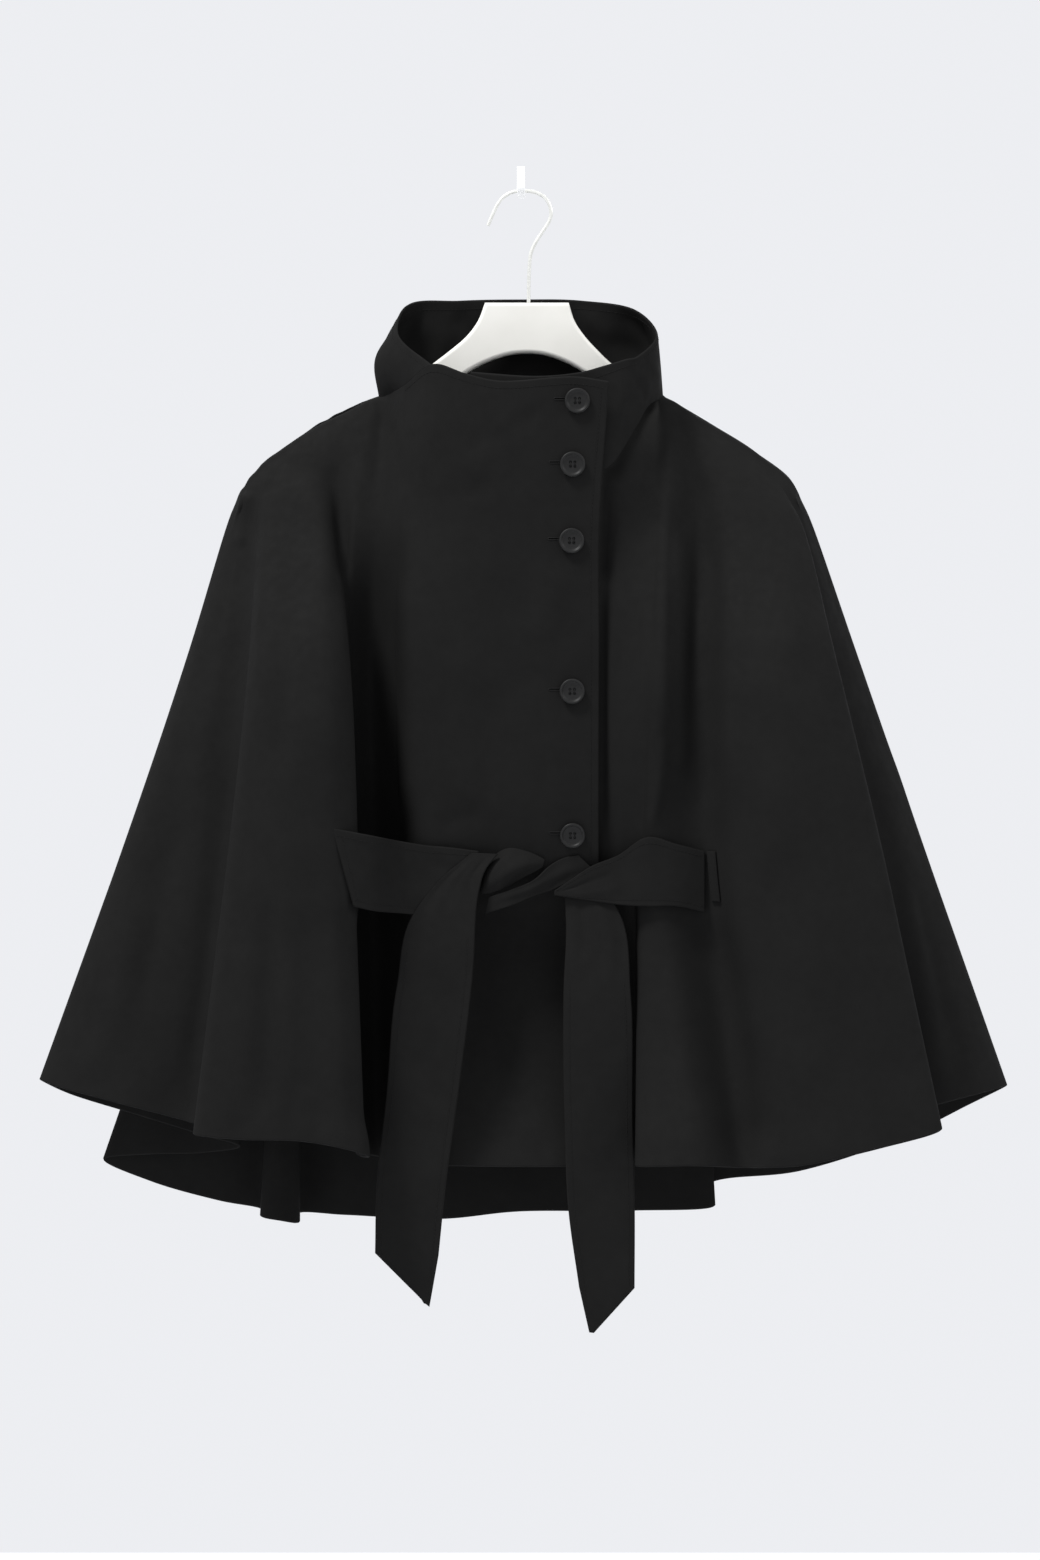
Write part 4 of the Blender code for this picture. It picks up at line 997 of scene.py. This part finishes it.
def band(name, rows, creases, straight, crown, sewn_from):
    """A belt band, and the lines of its edge stitching on both faces from a share of its length on."""
    middle = band_grid(rows, creases, straight, crown)
    normals = grid_normals(middle)
    made = cloth_wall(name, middle, normals, BELT_WALL, BELT_CLOTH, BAND_LIPS)
    lines = []
    start = int(sewn_from * middle.shape[1])
    for share in BAND_STITCHES:
        place = share * (BAND_ACROSS - 1)
        low = int(place)
        line = mix(middle[low], middle[low + 1], place - low)[start:]
        out = unit(mix(normals[low], normals[low + 1], place - low))[start:]
        lines += [raised(line, out, BELT_WALL / 2), raised(line, -out, BELT_WALL / 2)]
    if name == "belt_band_right":
        lines.append(raised(middle[1:-1, SLIT_STITCH], normals[1:-1, SLIT_STITCH], BELT_WALL / 2))
    return made, lines


def surface_line(xs, zs):
    """Points and normals of the creased buttoned panel at places in the front view."""
    across = np.linspace(DRAPE.at("edge"), DRAPE.at("panel_turn"), LOOKUP_GRID[0])
    points, _, normals = DRAPE.creased(across, np.linspace(0.0, 1.0, LOOKUP_GRID[1]))
    found, outs = [], []
    for x, z in zip(xs, zs):
        off = (points[..., 0] - x) ** 2 + (points[..., 2] - z) ** 2
        row, column = np.unravel_index(np.argmin(off), off.shape)
        normal = normals[row, column]
        shift = np.array([x - points[row, column, 0], 0.0, z - points[row, column, 2]])
        shift[1] = -(shift[0] * normal[0] + shift[2] * normal[2]) / normal[1]
        found.append(points[row, column] + shift)
        outs.append(normal)
    return np.array(found), np.array(outs)


def button(name, x, z, node):
    """A turned button with a raised rim, a dished face and four holes; gives the lines of its thread."""
    seat, normal = surface_line([x], [z])
    seat, normal = seat[0], normal[0]
    seat = seat + normal * (WALL / 2 + BUTTON_LIFT)
    side = unit(np.cross(np.array([0.0, 0.0, 1.0]), normal))
    up = np.cross(normal, side)
    axes = (side, up, normal)
    profile = [(share * BUTTON_RADIUS, height) for share, height in BUTTON_PROFILE]
    disc = turned(name + "_disc", profile, seat, axes, BUTTON_SIDES)
    reach = HOLE_OFFSET * np.sqrt(0.5)
    cutters = []
    for x_sign, z_sign in ((1, 1), (-1, 1), (-1, -1), (1, -1)):
        centre = seat + (side * x_sign + up * z_sign) * reach
        profile = [(HOLE_RADIUS, height) for height in HOLE_CUT]
        cutters.append(turned(f"{name}_cutter_{len(cutters)}", profile, centre, axes, HOLE_SIDES))
        cut = disc.modifiers.new("hole", "BOOLEAN")
        cut.object = cutters[-1]
        cut.operation = "DIFFERENCE"
    made = as_mesh(disc, name, BUTTON)
    made.data.set_sharp_from_angle(angle=BUTTON_SHARP)
    for cutter in cutters:
        bpy.data.objects.remove(cutter)
    finish_piece(made, "button", node)
    lines = []
    for sign in (-1, 1):
        ends = [seat + (side * sign + up * end) * reach for end in (-THREAD_REACH, THREAD_REACH)]
        lines.append(raised(np.array(ends), np.array([normal, normal]), THREAD_HEIGHT))
    return lines


def buttonhole(name, x, z):
    """A worked buttonhole: a ring of thread round its slit, with the shade in the slit painted as a
    near-black tube.
    """
    z += HOLE_RISE
    first, last = x - HOLE_SPAN[1], x - HOLE_SPAN[0]
    turns = np.linspace(0, np.pi, HOLE_ROUND)
    bulge, rise = HOLE_HALF * np.sin(turns), HOLE_HALF * np.cos(turns)
    xs = [*(last - HOLE_HALF + bulge), *(first + HOLE_HALF - bulge)]
    line, out = surface_line(xs, [*(z + rise), *(z - rise)])
    finish_piece(tube(name, line + out * THREAD_LIFT, THREAD, SEWING, True, 3), "cloth")
    # A near-black tube down the slit paints the shade seen through it
    xs = np.linspace(first + SLIT_INSET, last - SLIT_INSET, SLIT_POINTS)
    line, out = surface_line(xs, [z] * SLIT_POINTS)
    finish_piece(tube(name + "_slit", line + out * SLIT_LIFT, SLIT, SHADE, False, 2), "cloth")


def slit_welt():
    """The welt beside the slit that the belt enters, lying on the left front, and its lines of stitching."""
    high, low = DRAPE.at("trough"), DRAPE.at("trough_out")
    across = np.linspace(mix(high, low, WELT_SPAN[1]), mix(high, low, WELT_SPAN[0]), WELT_GRID[0])
    middle, _, normals = DRAPE.creased(np.sort(across), np.linspace(*WELT_ROWS, WELT_GRID[1]))
    middle = middle + normals * (WALL + WELT_LIFT)
    made = cloth_wall("belt_slit_welt", middle, normals, WALL, CLOTH)
    return made, [raised(middle[1:-1, column], normals[1:-1, column]) for column in (1, -2)]


def hanger():
    """The hanger's board: a neck plate and two arms, in one flat piece with rounded edges."""
    made = bpy.data.curves.new("hanger_outline", "CURVE")
    made.dimensions = "2D"
    made.fill_mode = "BOTH"
    made.extrude = (HANGER_THICK / 2 - HANGER_BEVEL) * MM
    made.bevel_depth = HANGER_BEVEL * MM
    made.bevel_resolution = 5
    made.offset = -HANGER_BEVEL * MM
    add_line(made, [(x * MM, z * MM, 0.0) for x, z in smooth(HANGER_OUTLINE, HANGER_STEPS)], True)
    board = as_mesh(add_object("hanger_shape", made), "hanger_board", HANGER)
    turned_up = [(point.co.x, RIDGE_Y * MM - point.co.z, point.co.y) for point in board.data.vertices]
    board.data.vertices.foreach_set("co", np.array(turned_up).ravel())
    board.data.set_sharp_from_angle(angle=HANGER_SHARP)
    board.data.update()
    return board


def wall_hook():
    """The small hook on the wall: a flat leg against it, bent forward under the wire and up to a lip."""
    fine = smooth(WALL_HOOK_PATH, HOOK_STEPS)
    fine[:, 0] = np.minimum(fine[:, 0], -WALL_HOOK_THICK / 2)
    xs = np.linspace(WALL_HOOK_WIDTH / 2, -WALL_HOOK_WIDTH / 2, WALL_HOOK_POINTS)
    middle = np.array([[(x, y, z) for x in xs] for y, z in fine])
    middle = middle[::-1] if grid_normals(middle)[3, 3, 1] > 0 else middle
    return cloth_wall("hook_on_wall", middle, grid_normals(middle), WALL_HOOK_WALL, HOOK, WALL_HOOK_LIPS)


front_right = panel("jacket_front_right", "edge", "side_right", FRONT_STEP, -1, False, True)
finish_piece(front_right, "cloth", "front_right")
back = panel("jacket_back", "side_right", "side_left", BACK_STEP, 1, True, True)
finish_piece(back, "cloth", "back")
front_left = panel("jacket_front_left", "side_left", "lap_edge", FRONT_STEP, -1, True, False)
finish_piece(front_left, "cloth", "front_left")
collar_grid, collar_piece = collar()
finish_piece(collar_piece, "cloth", "collar")

belt_stitches = []
for name, rows, creases, node, straight, crown in (
    ("belt_band_right", BELT_RIGHT, RIGHT_BAND_CREASES, "belt_right", 0, 0.0),
    ("belt_band_left", BELT_LEFT, LEFT_BAND_CREASES, "belt_left", 0, 0.0),
    ("belt_band_inside", BELT_INSIDE, INSIDE_CREASES, "belt_inside", 0, 0.0),
    ("belt_end_right", TAIL_RIGHT, RIGHT_TAIL_CREASES, "belt_tail_right", 1, 0.0),
    ("belt_end_left", TAIL_LEFT, LEFT_TAIL_CREASES, "belt_tail_left", 1, 0.0),
    ("belt_diagonal", BELT_CROSS, CROSS_CREASES, "belt_cross", 0, 0.0),
    ("belt_wrap", BELT_KNOT, KNOT_CREASES, "belt_knot", 0, KNOT_CROWN),
):
    piece, lines = band(name, rows, creases, straight, crown, TAIL_SEWN_FROM if straight else 0.0)
    finish_piece(piece, "cloth", node)
    if name in BELT_SEWN:
        belt_stitches += lines
welt, welt_lines = slit_welt()
finish_piece(welt, "cloth", "slit_welt")

thread_lines = []
for index, (x, z) in enumerate(BUTTONS):
    thread_lines += button(f"button_turned_{index + 1}", x, z, f"button_{index + 1}")
    buttonhole(f"buttonhole_{index + 1}", x, z)
stitches("button_thread", thread_lines, *BUTTON_THREAD)

# Stitching: beside the front's edge, under the rims, along the belt and on the welt
edge_share, edge_top, edge_end, edge_count = EDGE_LINE
edge_across = [mix(DRAPE.at("edge"), DRAPE.at("panel_right"), edge_share)]
edge_points, _, edge_out = DRAPE.creased(edge_across, np.linspace(edge_top, edge_end, edge_count))
rim_start, rim_down, rim_count = RIM_LINE
rim_across = np.linspace(DRAPE.at("edge") + rim_start, DRAPE.at("valley_in"), rim_count)
rim_points, _, rim_out = DRAPE.creased(rim_across, [rim_down])
front_lines = [raised(edge_points[:, 0], edge_out[:, 0]), raised(rim_points[0], rim_out[0])]
stitches("edge_stitching", front_lines)
collar_points, collar_out = collar_grid[COLLAR_LINE], grid_normals(collar_grid)[COLLAR_LINE]
inner_line = raised(collar_points[:COLLAR_INSIDE], -collar_out[:COLLAR_INSIDE])
collar_lines = [raised(collar_points, collar_out), inner_line]
stitches("collar_stitching", collar_lines)
stitches("belt_stitching", belt_stitches)
stitches("welt_stitching", welt_lines, *WELT_STITCH)

finish_piece(hanger(), "hanger", "hanger")
wire_path = [(x, RIDGE_Y, z) for x, z in smooth(WIRE_ROUTE, HOOK_STEPS)]
finish_piece(tube("hook_wire", wire_path, WIRE_RADIUS, WIRE), "wire", "hanger_hook")
finish_piece(wall_hook(), "wall_hook", "wall_hook")


# Floor, light and camera, in metres
FLOOR_HALF = 4.0
FLOOR_Z = -2.0
WORLD_COLOUR = (0.845, 0.855, 0.885, 1.0)
CAMERA_AWAY = 3.2
CAMERA_X = -0.00087
CAMERA_Z = -0.510
FRAME_HEIGHT = 1.326
CLOTH_PLANE = -0.060


def floor():
    """A wide pale floor, far under the jacket."""
    corners = [(-1, -1), (1, -1), (1, 1), (-1, 1)]
    points = np.array([(x * FLOOR_HALF, y * FLOOR_HALF, FLOOR_Z) for x, y in corners]) / MM
    add_mesh("floor", points, [(0, 1, 2, 3)], FLOOR)


def light(name, place, target, size, power):
    """A round soft light at a place, turned to its target."""
    lamp = bpy.data.lights.new(name, "AREA")
    lamp.shape = "DISK"
    lamp.size = size
    lamp.energy = power
    made = add_object(name, lamp)
    made.location = place
    made.rotation_mode = "QUATERNION"
    made.rotation_quaternion = (Vector(target) - Vector(place)).to_track_quat("-Z", "Y")


floor()
light("key", (-2.7, -2.1, 5.0), (0, 0, -0.45), 1.5, 470)
light("side_fill", (3.6, -1.2, 1.6), (0, 0, -0.5), 1.8, 52)
light("back_fill", (0.8, 2.8, 1.0), (0, 0, -0.5), 1.8, 20)

world = bpy.data.worlds.new("studio")
world.use_nodes = True
background = world.node_tree.nodes["Background"]
background.inputs["Color"].default_value = WORLD_COLOUR
background.inputs["Strength"].default_value = 1.0
bpy.context.scene.world = world
bpy.context.scene.view_settings.view_transform = "Standard"

lens = bpy.data.cameras.new("camera")
lens.sensor_fit = "VERTICAL"
lens.sensor_height = 24.0
lens.lens = lens.sensor_height * CAMERA_AWAY / FRAME_HEIGHT
camera = add_object("camera", lens)
camera.location = (CAMERA_X, CLOTH_PLANE - CAMERA_AWAY, CAMERA_Z)
camera.rotation_euler = (np.pi / 2, 0.0, 0.0)
bpy.context.scene.camera = camera
